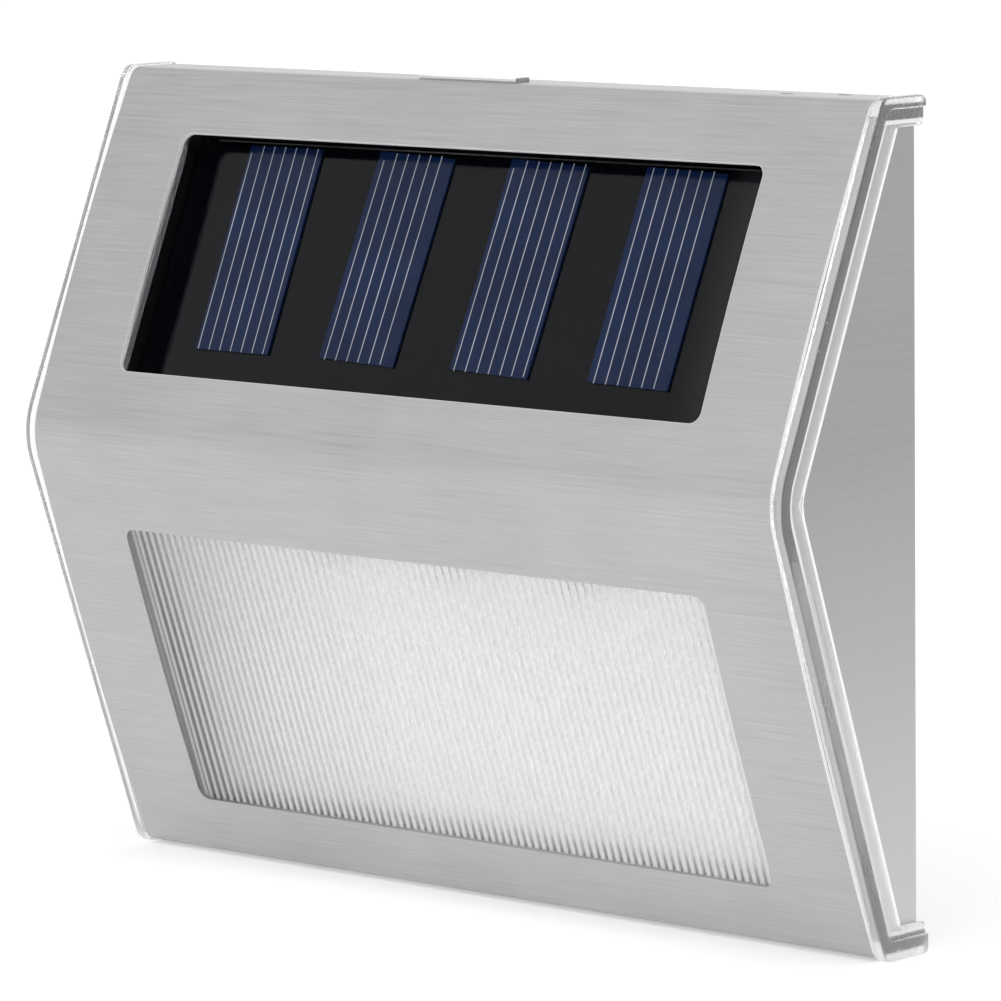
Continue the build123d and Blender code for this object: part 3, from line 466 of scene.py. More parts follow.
SHEET_END = 58.3
EDGE_NEAR = 0.04
EDGE_HIGHLIGHT_WHITE = (0.93, 0.93, 0.93, 1)
WINDOW_HALF = (46.0, 15.35)
WINDOW_MIDDLE = 24.05
WINDOW_CORNER = 1.5
spot = add_node(tree, "ShaderNodeSeparateXYZ", {0: place}).outputs
past_side = distance_from(spot["X"], 0.0, WINDOW_HALF[0] - WINDOW_CORNER)
middle_up = (fold.dot(upper_run) + WINDOW_MIDDLE) * MM
past_end = distance_from(along(upper_run), middle_up, WINDOW_HALF[1] - WINDOW_CORNER)
past = add_node(tree, "ShaderNodeCombineXYZ", {"X": past_side, "Y": past_end}).outputs[0]
from_corner = add_node(tree, "ShaderNodeVectorMath", {0: past}, operation="LENGTH").outputs["Value"]
from_middle = reckon(tree, "ABSOLUTE", spot["X"])
cut = reckon(tree, "MAXIMUM", is_at(from_corner, WINDOW_CORNER), is_at(from_middle, SHEET_END))
# Painted highlight: the cut edges are painted matt white instead of steel.
edge_highlight_colour = blend_colours(tree, cut, effect.outputs["Color"], EDGE_HIGHLIGHT_WHITE)
tree.links.new(edge_highlight_colour, shader.inputs["Base Color"])
tree.links.new(between(tree, cut, 1.0, 0.0), shader.inputs["Metallic"])
dress(cover_brushed, "front_cover")

# %% [markdown]
# ## Steel back
# The back plate and its two ears are one piece of a plainer, duller sheet. It was brushed before
# the ears were bent, so the brushing runs level across the back and on round the ears: noise
# that is squeezed in Z alone does both. Towards its lower end the sheet is painted a little
# brighter, a painted sheen for the brighter light that it mirrors there, so a second shade is
# mixed in by the height.

# %% Steel back
BACK_BRUSH = (60.0, 60.0, 5200.0)
PAINTED_SHEEN_HEIGHTS = (-46.0, 10.0)
PAINTED_SHEEN_SHARE = 0.55
PAINTED_SHEEN_COLOUR = (0.80, 0.79, 0.78, 1)
back_brushed, tree, shader, place = new_finish("back_brushed", Metallic=1.0)
level = add_node(tree, "ShaderNodeMapping", {"Vector": place, "Scale": BACK_BRUSH}).outputs[0]
effect = use_group(
    tree,
    shader,
    brushed_sheet,
    shades((0.345, 0.34, 0.345), (0.395, 0.39, 0.395), 0.42, 0.50, Place=level, Surface=place),
    0.03,
)
height = add_node(tree, "ShaderNodeSeparateXYZ", {0: place}).outputs["Z"]
# Painted sheen: the sheet is painted brighter towards its lower end.
painted_sheen = between(tree, height, PAINTED_SHEEN_SHARE, 0.0, PAINTED_SHEEN_HEIGHTS[0] * MM, PAINTED_SHEEN_HEIGHTS[1] * MM)
sheened_colour = blend_colours(tree, painted_sheen, effect.outputs["Color"], PAINTED_SHEEN_COLOUR)
tree.links.new(sheened_colour, shader.inputs["Base Color"])
dress(back_brushed, "back_plate")

# %% [markdown]
# ## Clear moulding
# The rims, the lens and the panel's pocket are one piece of clear plastic. It is real glass in
# the shader, so the reeds, the lips and the wall behind the steel bend the light themselves. The
# real moulding is a little milky, which is why a small share of it is plain white instead of
# clear. A renderer follows lamp light through glass very slowly, so shadows and scattered light
# are told to pass the clear pieces by, and only what is seen through them is bent.

# %% Clear moulding
ACRYLIC_IOR = 1.49
ACRYLIC_CLEAR = 0.88
clear_acrylic, tree, shader, place = new_finish(
    "clear_acrylic", IOR=ACRYLIC_IOR, Transmission_Weight=ACRYLIC_CLEAR
)
flow = use_group(tree, shader, clear_flow, {"Place": place, "Gloss": 0.0, "Haze": 0.03}, 0.002)


def ramp_over(value, low, high, span):
    """A value that goes from low to high over a span, in millimetres."""
    return between(tree, value, low, high, span[0] * MM, span[1] * MM)


def soft_step(value, mark, low=0.0, high=1.0, soft=0.1):
    """Goes from low to high close to a mark, in millimetres."""
    return ramp_over(value, low, high, (mark - soft, mark + soft))


def stretch_of(value, span, soft=0.1):
    """1 where a value lies within a span, in millimetres, with soft ends."""
    rising = soft_step(value, span[0], soft=soft)
    return reckon(tree, "MULTIPLY", rising, soft_step(value, span[1], 1.0, 0.0, soft))


print("made", clear_acrylic.name)

# %% [markdown]
# The melt ran along the thin rims when the mould was filled, and it left streaks that follow
# their edges. How deep a place lies under the nearer slope is the smaller of two distances to a
# plane. A noise that is squeezed along that depth and left long along the height gives the
# streaks, and the width keeps them on the rims. Below the fold and at the top the rims are
# cloudier, so the dark gap inside them melts into the white sealant beside it.

# %% Rim streaks
RIM_FROM = 58.4
STREAK_SCALE = (300.0, 2800.0, 50.0)
STREAK_SPAN = (0.35, 0.75)
STREAK_HAZE = 0.30
STREAK_RELIEF = 80.0
LOW_RIM = (-24.0, -4.0)
HIGH_RIM = (43.5, 45.5)
RIM_CLOUDS = (0.26, 0.16)  # below the fold, at the top
depths = []
for run, side in ((upper_run, 1), (lower_run, -1)):
    inward = Vector((0, run.z, -run.y)) * side
    depths.append(reckon(tree, "SUBTRACT", along(inward), inward.dot(fold) * MM))
depth = reckon(tree, "MINIMUM", *depths)
spot = add_node(tree, "ShaderNodeSeparateXYZ", {0: place}).outputs
rim_place = {"X": spot["X"], "Y": depth, "Z": spot["Z"]}
along_rim = add_node(tree, "ShaderNodeCombineXYZ", rim_place).outputs[0]
stretched = add_node(tree, "ShaderNodeMapping", {"Vector": along_rim, "Scale": STREAK_SCALE}).outputs[0]
streaks = noise(tree, stretched, 1.0, detail=3.0, distortion=0.4)
out_from_middle = reckon(tree, "ABSOLUTE", spot["X"])
on_rim = soft_step(out_from_middle, RIM_FROM)
rim_streaks = reckon(tree, "MULTIPLY", streaks, on_rim)
rim_haze = between(tree, rim_streaks, 0.0, STREAK_HAZE, *STREAK_SPAN)
low_cloud = ramp_over(spot["Z"], RIM_CLOUDS[0], 0.0, LOW_RIM)
high_cloud = ramp_over(spot["Z"], 0.0, RIM_CLOUDS[1], HIGH_RIM)
rim_cloud = reckon(tree, "MULTIPLY", reckon(tree, "ADD", low_cloud, high_cloud), on_rim)
rim_relief = reckon(tree, "MULTIPLY_ADD", rim_streaks, STREAK_RELIEF, flow.outputs["Height"])
tree.links.new(rim_relief, tree.nodes["Bump"].inputs["Height"])
print("streaks on the rims from X", RIM_FROM, "mm")

# %% [markdown]
# Two more places of the moulding are not plain clear. The back of the lens is frosted, so that
# the lamps behind it melt into one soft field. The walls of the panel's pocket are painted near
# black, a painted shade for the closed dark box that lies behind them.

# %% Frosted lens and painted pocket shade
LENS_BACK = (2.3, 2.9)
LENS_HEIGHTS = (-48.0, -4.0)
LAMP_HEIGHTS = (-18.0, -9.0)
FROST = 0.24
TOP_FROST = 0.42  # in front of the lamps
in_lens = stretch_of(spot["Z"], LENS_HEIGHTS)
lens_back = reckon(tree, "MULTIPLY", stretch_of(depth, LENS_BACK), in_lens)
frosted = reckon(tree, "MULTIPLY", lens_back, ramp_over(spot["Z"], FROST, TOP_FROST, LAMP_HEIGHTS))
hazes = reckon(tree, "ADD", reckon(tree, "ADD", rim_haze, frosted), rim_cloud)
roughness = reckon(tree, "ADD", flow.outputs["Roughness"], hazes)
tree.links.new(roughness, shader.inputs["Roughness"])

# Painted shade: the pocket walls get a near black colour where only shade lies.
POCKET_SIDE = 48.4
POCKET_HEIGHTS = (10.0, 45.0)
POCKET_DEPTHS = (0.9, 8.0)
ACRYLIC_COLOUR = (0.995, 0.998, 0.998, 1)
POCKET_SHADE_COLOUR = (0.03, 0.03, 0.035, 1)
behind_sheet = reckon(
    tree, "MULTIPLY", stretch_of(spot["Z"], POCKET_HEIGHTS), stretch_of(depth, POCKET_DEPTHS)
)
pocket_shade = reckon(tree, "MULTIPLY", behind_sheet, soft_step(out_from_middle, POCKET_SIDE, 1.0, 0.0))
pocket_shaded_colour = blend_colours(tree, pocket_shade, ACRYLIC_COLOUR, POCKET_SHADE_COLOUR)
print("frost", FROST, "to", TOP_FROST)

# %% [markdown]
# The reeds of the lens are half-round bars side by side. A narrow line on each is left clear, and
# its flanks and the groove beside it are painted grey, a painted shade for the light that they
# send sideways. The place within one reed is the remainder of X over the pitch, so one wave gives
# all of them. The painted shade is strongest at the left end of the lens and fades towards its
# middle.

# %% Painted reed shade
REED_PITCH = 1.15
REED_FIRST = -45.425
REED_LINE = 0.66
REED_FLANK = (0.08, 0.30)
REED_DEPTHS = (0.2, 1.3)
REED_FADE = (-46.0, -8.0)
REED_LEAST = 0.30
REED_SHADE_GREY = (0.30, 0.30, 0.31, 1)
reeds_along = reckon(tree, "SUBTRACT", spot["X"], REED_FIRST * MM)
in_reed = reckon(tree, "FRACT", reckon(tree, "DIVIDE", reeds_along, REED_PITCH * MM))
off_line = reckon(tree, "ABSOLUTE", reckon(tree, "SUBTRACT", in_reed, REED_LINE))
flank = between(tree, off_line, 0.0, 1.0, *REED_FLANK)
reed_shade_fading = ramp_over(spot["X"], 1.0, REED_LEAST, REED_FADE)
reed_front = reckon(tree, "MULTIPLY", stretch_of(depth, REED_DEPTHS), in_lens)
reed_shade_share = reckon(tree, "MULTIPLY", reckon(tree, "MULTIPLY", flank, reed_shade_fading), reed_front)
# Painted shade: the reeds' flanks and grooves are blended towards grey.
moulding_colour = blend_colours(tree, reed_shade_share, pocket_shaded_colour, REED_SHADE_GREY)
tree.links.new(moulding_colour, shader.inputs["Base Color"])
print("reeds every", REED_PITCH, "mm")

# %% [markdown]
# A clear wall leads the light it gathers to its edge, so the edge of the skirt shines as a bright
# line along the ear. A renderer finds such light too slowly, so a weak glow stands in for it.

# %% Bright edge
SKIRT_EDGE = (4.62, 4.9)
SKIRT_ENDS = (-45.4, 45.5)
EDGE_LIGHT = (0.32, 0.32, 0.32, 1)
skirt_edge = reckon(tree, "MULTIPLY", stretch_of(depth, SKIRT_EDGE, 0.05), on_rim)
bright_edge = reckon(tree, "MULTIPLY", skirt_edge, stretch_of(spot["Z"], SKIRT_ENDS))
edge_light = blend_colours(tree, bright_edge, (0, 0, 0, 1), EDGE_LIGHT)
tree.links.new(edge_light, shader.inputs["Emission Color"])
shader.inputs["Emission Strength"].default_value = 1.0
dress(clear_acrylic, "clear_body")


def let_light_in(piece):
    """Lets shadows and scattered light pass a clear piece."""
    piece.visible_shadow = False
    piece.visible_diffuse = False


let_light_in(nodes["clear_body"])

# %% [markdown]
# ## Solar panel: board and cells
# The panel is a black board with four strips of silicon laid on it by hand, under clear resin.
# The board is a dark laminate. Silicon is a very dark blue whose tone drifts across each strip,
# so two blues are mixed by a soft noise. The resin's gloss is given to the board and the cells
# themselves, because a black piece with a gloss renders much cleaner than glass over a black
# piece. Towards the panel's right end the board is painted a little lighter, a painted reflection
# for the glow of the resin's rounded edge there.

# %% Board and cells
PANEL_GLOSS = 1.27
RESIN_REFLECTION_SPAN = (38.0, 46.3)
RESIN_REFLECTION_COLOUR = (0.030, 0.031, 0.035, 1)
panel_laminate, tree, shader, place = new_finish("panel_laminate", IOR=PANEL_GLOSS)
effect = use_group(
    tree,
    shader,
    moulded_skin,
    shades((0.0010, 0.0014, 0.0026), (0.0020, 0.0026, 0.0042), 0.05, 0.09, Place=place, Grain=700.0),
    0.002,
)
sideways = add_node(tree, "ShaderNodeSeparateXYZ", {0: place}).outputs["X"]
# Painted reflection: the board grows lighter towards the panel's right end.
resin_reflection = ramp_over(sideways, 0.0, 1.0, RESIN_REFLECTION_SPAN)
reflected_colour = blend_colours(tree, resin_reflection, effect.outputs["Color"], RESIN_REFLECTION_COLOUR)
tree.links.new(reflected_colour, shader.inputs["Base Color"])
dress(panel_laminate, "panel_board")

cell_silicon, tree, shader, place = new_finish("cell_silicon", IOR=PANEL_GLOSS)
use_group(
    tree,
    shader,
    moulded_skin,
    shades((0.0045, 0.013, 0.050), (0.0075, 0.020, 0.070), 0.06, 0.12, Place=place, Grain=1800.0),
    0.002,
)
dress(cell_silicon, "solar_cells")

# %% [markdown]
# ## Solar panel: silver fingers
# Thin printed silver lines carry the current off each strip. They repeat, so Geometry Nodes lay
# one flat bar on every point of a small mesh. Each point knows how long its finger is and how
# far its strip leans. The rows are drawn flat, and the tree lays them on the slope at the end.


# %% Repeating helper
def grow(name, seeds, tree, values):
    """Runs a node tree on a mesh and keeps the result as a plain mesh in a piece of its own."""
    seed_object = bpy.data.objects.new(name + "_seeds", seeds)
    scene.collection.objects.link(seed_object)
    modifier = seed_object.modifiers.new("repeat", "NODES")
    modifier.node_group = tree
    for socket in tree.interface.items_tree:
        if socket.in_out == "INPUT" and socket.name in values:
            modifier[socket.identifier] = values[socket.name]
    evaluated = seed_object.evaluated_get(bpy.context.evaluated_depsgraph_get())
    mesh = bpy.data.meshes.new_from_object(evaluated)
    seed_object.modifiers.remove(modifier)
    bpy.data.objects.remove(seed_object)
    mesh.name = name
    piece = bpy.data.objects.new(name, mesh)
    scene.collection.objects.link(piece)
    print(name, len(mesh.polygons), "faces")
    return piece


def repeat_tree(name, inputs):
    """A geometry tree with a mesh in, a mesh out and the named inputs."""
    tree = bpy.data.node_groups.new(name, "GeometryNodeTree")
    for title, kind in [("Geometry", "Geometry")] + inputs:
        tree.interface.new_socket(title, in_out="INPUT", socket_type="NodeSocket" + kind)
    tree.interface.new_socket("Geometry", in_out="OUTPUT", socket_type="NodeSocketGeometry")
    return tree, add_node(tree, "NodeGroupInput"), add_node(tree, "NodeGroupOutput")


def end_tree(tree, given, made, instances):
    """Closes a tree: instances become real geometry with their finish."""
    real = add_node(tree, "GeometryNodeRealizeInstances", {0: instances})
    plugs = {"Geometry": real.outputs[0], "Material": given.outputs["Finish"]}
    done = add_node(tree, "GeometryNodeSetMaterial", plugs)
    tree.links.new(done.outputs[0], made.inputs[0])
    print("tree", tree.name)


def plain_mesh(name, places, faces=()):
    """A mesh from its places and faces."""
    mesh = bpy.data.meshes.new(name)
    mesh.from_pydata([tuple(place) for place in places], [], list(faces))
    return mesh


# %% Finger rows
finger_inputs = [("Width", "Float"), ("Thickness", "Float"), ("Tilt", "Float")]
finger_inputs += [("Corner", "Vector"), ("Finish", "Material")]
finger_rows, given, made = repeat_tree("finger_rows", finger_inputs)
length, lean = (
    add_node(finger_rows, "GeometryNodeInputNamedAttribute", {"Name": title}, data_type="FLOAT")
    for title in ("reach", "lean")
)
size = add_node(
    finger_rows,
    "ShaderNodeCombineXYZ",
    {"X": given.outputs["Width"], "Y": length.outputs["Attribute"], "Z": given.outputs["Thickness"]},
)
turn = add_node(finger_rows, "ShaderNodeCombineXYZ", {"Z": lean.outputs["Attribute"]})
bar = add_node(finger_rows, "GeometryNodeMeshCube", {"Size": (1, 1, 1)})
rows = add_node(
    finger_rows,
    "GeometryNodeInstanceOnPoints",
    {
        "Points": given.outputs["Geometry"],
        "Instance": bar.outputs[0],
        "Rotation": turn.outputs[0],
        "Scale": size.outputs[0],
    },
)
slope = add_node(finger_rows, "ShaderNodeCombineXYZ", {"X": given.outputs["Tilt"]})
laid = add_node(
    finger_rows,
    "GeometryNodeTransform",
    {"Geometry": rows.outputs[0], "Translation": given.outputs["Corner"], "Rotation": slope.outputs[0]},
)
end_tree(finger_rows, given, made, laid.outputs[0])

# %% [markdown]
# The four strips lean a little to the right, each by its own amount, and two of them carry
# seven fingers and two carry six. On three strips the first finger stops short of the top.

# %% Silver fingers
STRIP_MIDDLE = 26.3
FINGER_PITCH = 1.808
FINGER_REACH = 26.1
FINGER_DEPTH = 3.29
FINGER_WIDTH = 0.115
FINGER_THICKNESS = 0.04
STRIPS = (  # X of the first finger, fingers, lean in degrees, how much the first one is short
    (-37.16, 7, 0.0, 1.0),
    (-15.6, 6, 2.2, 1.0),
    (5.17, 7, 2.2, 1.0),
    (26.57, 6, 1.4, 0.0),
)
places, reaches, leans = [], [], []
for first, count, tilt, short in STRIPS:
    for number in range(count):
        cut_back = short if number == 0 else 0.0
        reaches.append((FINGER_REACH - cut_back) * MM)
        leans.append(-math.radians(tilt))
        slip = math.tan(math.radians(tilt)) * cut_back / 2
        across = first + number * FINGER_PITCH - slip
        places.append(Vector((across, STRIP_MIDDLE - cut_back / 2, -FINGER_DEPTH)) * MM)
finger_points = plain_mesh("finger_points", places)
for title, numbers in (("reach", reaches), ("lean", leans)):
    finger_points.attributes.new(title, "FLOAT", "POINT").data.foreach_set("value", numbers)

finger_silver, tree, shader, place = new_finish("finger_silver")
use_group(
    tree,
    shader,
    moulded_skin,
    shades((0.38, 0.40, 0.44), (0.56, 0.58, 0.62), 0.40, 0.60, Place=place, Grain=3000.0),
    0.1,
)
cell_fingers = grow(
    "cell_fingers",
    finger_points,
    finger_rows,
    {
        "Width": FINGER_WIDTH * MM,
        "Thickness": FINGER_THICKNESS * MM,
        "Tilt": UPPER_TILT,
        "Corner": fold * MM,
        "Finish": finger_silver,
    },
)
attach(cell_fingers, "housing")

# %% [markdown]
# ## Solar panel: resin
# Clear resin is poured over the cells and pulls back from the edge, so the surface is flat in
# the middle and rolls off towards its border. The solid in the frame is a plain slab with room
# for the cells. Here the slab is a ring of outlines that sink as they near the border, and it
# reaches just into the board, so that no air lies between the resin and the cells.


# %% Resin outline
CORNER_STEPS = 8


def outline(half_width, half_height, corner):
    """Points round a rectangle with rounded corners, from its right side on."""
    points = []
    for number, (sx, sy) in enumerate(((1, 1), (-1, 1), (-1, -1), (1, -1))):
        for step in range(CORNER_STEPS + 1):
            angle = (number + step / CORNER_STEPS) * math.pi / 2
            x = sx * (half_width - corner) + corner * math.cos(angle)
            y = sy * (half_height - corner) + corner * math.sin(angle)
            points.append((x, y))
    return points


PANEL_HALF = 46.3
PANEL_HALF_HEIGHT = 15.645
PANEL_MIDDLE = 24.043
PANEL_CORNER = 1.5
RESIN_FACE = 3.0
RESIN_FOOT = 3.65
ROLL_REACH = 4.0
ROLL_DROP = 0.45
ROLL_STEPS = 10
print("resin", 2 * PANEL_HALF, "by", 2 * PANEL_HALF_HEIGHT, "mm")

# %% Resin sheet
MERGE = 0.001
resin = bmesh.new()
levels = [(0.0, RESIN_FOOT)]
for step in range(ROLL_STEPS + 1):
    share = step / ROLL_STEPS
    levels.append((share * ROLL_REACH, RESIN_FACE + ROLL_DROP * (1 - share) ** 3))
rings = []
for inset, sunk in levels:
    ring = []
    for x, y in outline(PANEL_HALF - inset, PANEL_HALF_HEIGHT - inset, PANEL_CORNER):
        ring.append(resin.verts.new(on_upper @ Vector((x, y + PANEL_MIDDLE, -sunk))))
    rings.append(ring)
for lower, upper in zip(rings, rings[1:]):
    for number in range(len(lower)):
        after = (number + 1) % len(lower)
        resin.faces.new((lower[number], lower[after], upper[after], upper[number]))
resin.faces.new(rings[-1])
resin.faces.new(reversed(rings[0]))
bmesh.ops.remove_doubles(resin, verts=resin.verts, dist=MERGE * MM)
bmesh.ops.recalc_face_normals(resin, faces=resin.faces)
resin_mesh = bpy.data.meshes.new("panel_resin_sheet")
resin.to_mesh(resin_mesh)
resin.free()
for face in resin_mesh.polygons:
    face.use_smooth = True
resin_mesh.update()
resin_sheet = bpy.data.objects.new("panel_resin_sheet", resin_mesh)
scene.collection.objects.link(resin_sheet)
print("resin", len(resin_mesh.polygons), "faces")

# %% Resin finish
RESIN_IOR = 1.01  # the gloss sits on the board and the cells
cast_resin, tree, shader, place = new_finish(
    "cast_resin", Base_Color=(0.97, 0.98, 0.99, 1), IOR=RESIN_IOR, Transmission_Weight=1.0
)
use_group(tree, shader, clear_flow, {"Place": place, "Gloss": 0.0, "Haze": 0.03}, 0.001)
resin_mesh.materials.append(cast_resin)
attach(resin_sheet, "housing")
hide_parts("panel_resin")
let_light_in(resin_sheet)
dress(cast_resin, "panel_resin")

# %% [markdown]
# ## White plastics
# The panel sits on white foam tape, and a bead of white sealant runs along each ear under the
# clear rim. Both are nearly white, and differ in their grain. The box behind the lens spreads the
# light of the lamps. Light goes round a white box many times before it comes out, and a renderer
# that follows it leaves specks, so most of the box's brightness is a steady glow and only the
# rest is plain colour. The glow sinks towards the two ends, which lie far from the lamps.

# %% White box behind the lens
trough_white, tree, shader, place = new_finish("trough_white")
use_group(
    tree,
    shader,
    moulded_skin,
    shades((0.30, 0.302, 0.306), (0.33, 0.33, 0.334), 0.35, 0.55, Place=place, Grain=1400.0),
    0.15,
)
GLOW_SPAN = (36.5, 49.5)
FULL_GLOW = (0.475, 0.480, 0.490, 1)
END_GLOW = (0.30, 0.303, 0.308, 1)
sideways = add_node(tree, "ShaderNodeSeparateXYZ", {0: place}).outputs["X"]
sinking = ramp_over(reckon(tree, "ABSOLUTE", sideways), 0.0, 1.0, GLOW_SPAN)
glow = blend_colours(tree, sinking, FULL_GLOW, END_GLOW)
tree.links.new(glow, shader.inputs["Emission Color"])
shader.inputs["Emission Strength"].default_value = 1.0
dress(trough_white, "reflector")


# %% White tape and sealant
def moulded(name, dark, light, gloss, matt, grain, bump, owners, **plain):
    """A finish of moulded skin alone, put on its owners."""
    material, tree, shader, place = new_finish(name, **plain)
    plugs = shades(dark, light, gloss, matt, Place=place, Grain=grain)
    use_group(tree, shader, moulded_skin, plugs, bump)
    dress(material, *owners)
    return material


moulded("foam_tape", (0.70, 0.70, 0.68), (0.82, 0.82, 0.80), 0.80, 0.95, 5000.0, 0.5, ["panel_tape"])
moulded("white_sealant", (0.92,) * 3, (0.97,) * 3, 0.22, 0.40, 900.0, 0.3, ["seal_beads"])

# %% [markdown]
# ## Lamps
# Three small lamps look into the white box from its back. Their domes are clear epoxy, so they
# use the clear effect again.

# %% Lamps
EPOXY_IOR = 1.52
lamp_epoxy, tree, shader, place = new_finish(
    "lamp_epoxy", Base_Color=(0.99, 0.98, 0.93, 1), IOR=EPOXY_IOR, Transmission_Weight=1.0
)
use_group(tree, shader, clear_flow, {"Place": place, "Gloss": 0.02, "Haze": 0.06}, 0.03)
dress(lamp_epoxy, "leds")

# %% [markdown]
# Each lamp carries a small chip under yellow phosphor, sunk in the dome. One tree lays a low
# dome on every point, and it serves again below for the solder joints.


# %% Low domes
def smooth_ball(tree):
    """A smooth ball of radius 1 with 80 faces."""
    ball = add_node(tree, "GeometryNodeMeshIcoSphere", {"Radius": 1.0, "Subdivisions": 2})
    return add_node(tree, "GeometryNodeSetShadeSmooth", {"Geometry": ball.outputs[0]}).outputs[0]


low_domes, given, made = repeat_tree(
    "low_domes", [("Radius", "Float"), ("Height", "Float"), ("Finish", "Material")]
)
round_ball = smooth_ball(low_domes)
size = add_node(
    low_domes,
    "ShaderNodeCombineXYZ",
    {"X": given.outputs["Radius"], "Y": given.outputs["Height"], "Z": given.outputs["Radius"]},
)
domes = add_node(
    low_domes,
    "GeometryNodeInstanceOnPoints",
    {"Points": given.outputs["Geometry"], "Instance": round_ball, "Scale": size.outputs[0]},
)
end_tree(low_domes, given, made, domes.outputs[0])

# %% Lamp dies
LAMP_XS = (-20.0, 0.0, 20.0)
LAMP_Z = -7.65
DIE_Y = -9.7
DIE_RADIUS = 0.7
DIE_HEIGHT = 0.25
lamp_phosphor, tree, shader, place = new_finish("lamp_phosphor")
use_group(
    tree,
    shader,
    moulded_skin,
    shades((0.75, 0.55, 0.05), (0.90, 0.72, 0.12), 0.4, 0.6, Place=place, Grain=4000.0),
    0.2,
)
die_points = plain_mesh("die_points", [Vector((x, DIE_Y, LAMP_Z)) * MM for x in LAMP_XS])
lamp_dies = grow(
    "lamp_dies",
    die_points,
    low_domes,
    {"Radius": DIE_RADIUS * MM, "Height": DIE_HEIGHT * MM, "Finish": lamp_phosphor},
)
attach(lamp_dies, "housing")

# %% [markdown]
# ## Circuit board
# The board is green lacquer over copper. The copper runs show as slightly lighter, raised paths:
# square Voronoi cells, cut off near their borders, give a net of straight runs.

# %% Circuit board
RUN_SCALE = 260.0
RUN_EDGE = (0.44, 0.47)
WEAVE_SCALE = 2200.0
LACQUER = ((0.010, 0.085, 0.030, 1), (0.030, 0.190, 0.070, 1))
board_lacquer, tree, shader, place = new_finish("board_lacquer", Coat_Weight=0.3)
runs = add_node(
    tree,
    "ShaderNodeTexVoronoi",
    {"Vector": place, "Scale": RUN_SCALE, "Randomness": 0.8},
    distance="CHEBYCHEV",
    feature="F1",
)
path = between(tree, runs.outputs["Distance"], 0.0, 1.0, *RUN_EDGE)
weave = noise(tree, place, WEAVE_SCALE)
tree.links.new(blend_colours(tree, path, *LACQUER), shader.inputs["Base Color"])
tree.links.new(between(tree, weave, 0.28, 0.45, *NOISE_SPAN), shader.inputs["Roughness"])
raise_skin(tree, shader, path, 0.4)
dress(board_lacquer, "circuit_board")

# %% [markdown]
# ## Bare metal
# Tinned legs, pins and contacts, the switch's case and the screws are plain metal. The moulded
# effect works here too: its grain becomes the fine pitting of plated metal.

# %% Bare metal
legs = ("led_leads", "chip_legs", "inductor_leads", "switch_pins")
contacts = ("battery_plate", "battery_spring")
screws = ("back_screws", "frame_screws", "board_screws")
metals = {}
for name, dark, light, gloss, matt, grain, owners in (
    ("tinned_copper", (0.62, 0.61, 0.60), (0.80, 0.79, 0.77), 0.22, 0.40, 3000.0, legs),
    ("contact_plate", (0.66, 0.66, 0.64), (0.82, 0.82, 0.80), 0.20, 0.36, 1500.0, contacts),
    ("switch_tin", (0.55, 0.55, 0.54), (0.70, 0.70, 0.69), 0.26, 0.42, 2000.0, ["switch_body"]),
    ("screw_zinc", (0.50, 0.50, 0.51), (0.68, 0.68, 0.69), 0.24, 0.42, 2600.0, screws),
):
    metals[name] = moulded(name, dark, light, gloss, matt, grain, 0.15, owners, Metallic=1.0)

# %% [markdown]
# Every wire and leg is soldered to the board: the lamps' legs and the four leads behind it, the
# coil's legs and the switch's pins in front of it.

# %% Solder joints
BOARD_BACK = -7.0
BOARD_FRONT = -8.6
LEG_OFFSET = 1.27
LEAD_XS = (-29.5, -27.0, -23.0, 23.0)
LEAD_Z = -7.9
COIL_XS = (8.5, 21.5)
COIL_Z = -16.9
PIN_XS = (-2.5, 0.0, 2.5)
PIN_Z = -19.4
SOLDER_RADIUS = 0.85
SOLDER_HEIGHT = 0.4
leg_xs = [x + side * LEG_OFFSET for x in LAMP_XS for side in (-1, 1)]
joints = []
for xs, face, z in (
    (leg_xs, BOARD_BACK, LAMP_Z),
    (LEAD_XS, BOARD_BACK, LEAD_Z),
    (COIL_XS, BOARD_FRONT, COIL_Z),
    (PIN_XS, BOARD_FRONT, PIN_Z),
):
    joints += [Vector((x, face, z)) * MM for x in xs]
solder_joints = grow(
    "solder_joints",
    plain_mesh("solder_points", joints),
    low_domes,
    {"Radius": SOLDER_RADIUS * MM, "Height": SOLDER_HEIGHT * MM, "Finish": metals["tinned_copper"]},
)
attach(solder_joints, "housing")

# %% [markdown]
# ## Dark plastics and leads
# The chip, the battery holder, the knob and the two black leads are black plastics of different
# grain, and the red leads are the same plastic in red.

# %% Dark plastics and leads
black_leads = ("solar_lead_black", "battery_lead_black")
red_leads = ("solar_lead_red", "battery_lead_red")
holder = ["battery_holder"]
for name, dark, light, gloss, matt, grain, owners in (
    ("chip_epoxy", (0.012, 0.012, 0.013), (0.028, 0.028, 0.030), 0.45, 0.65, 4000.0, ["driver_chip"]),
    ("holder_plastic", (0.014, 0.014, 0.015), (0.026, 0.026, 0.027), 0.35, 0.55, 1600.0, holder),
    ("knob_plastic", (0.010, 0.010, 0.011), (0.024, 0.024, 0.025), 0.32, 0.50, 3500.0, ["switch_knob"]),
    ("black_sleeve", (0.010, 0.010, 0.010), (0.022, 0.022, 0.022), 0.30, 0.45, 2500.0, black_leads),
    ("red_sleeve", (0.42, 0.015, 0.012), (0.55, 0.030, 0.022), 0.30, 0.45, 2500.0, red_leads),
):
    moulded(name, dark, light, gloss, matt, grain, 0.2, owners)


# %% [markdown]
# ## Banded pieces
# The coil is a green moulded body with painted rings, and the battery wears a shrunk sleeve with
# a plain light band. The rings follow X, so a ramp over X with hard steps paints them, and a
# noise gives both their sheen.


# %% Banded pieces
SKIN_SCALE = 1200.0


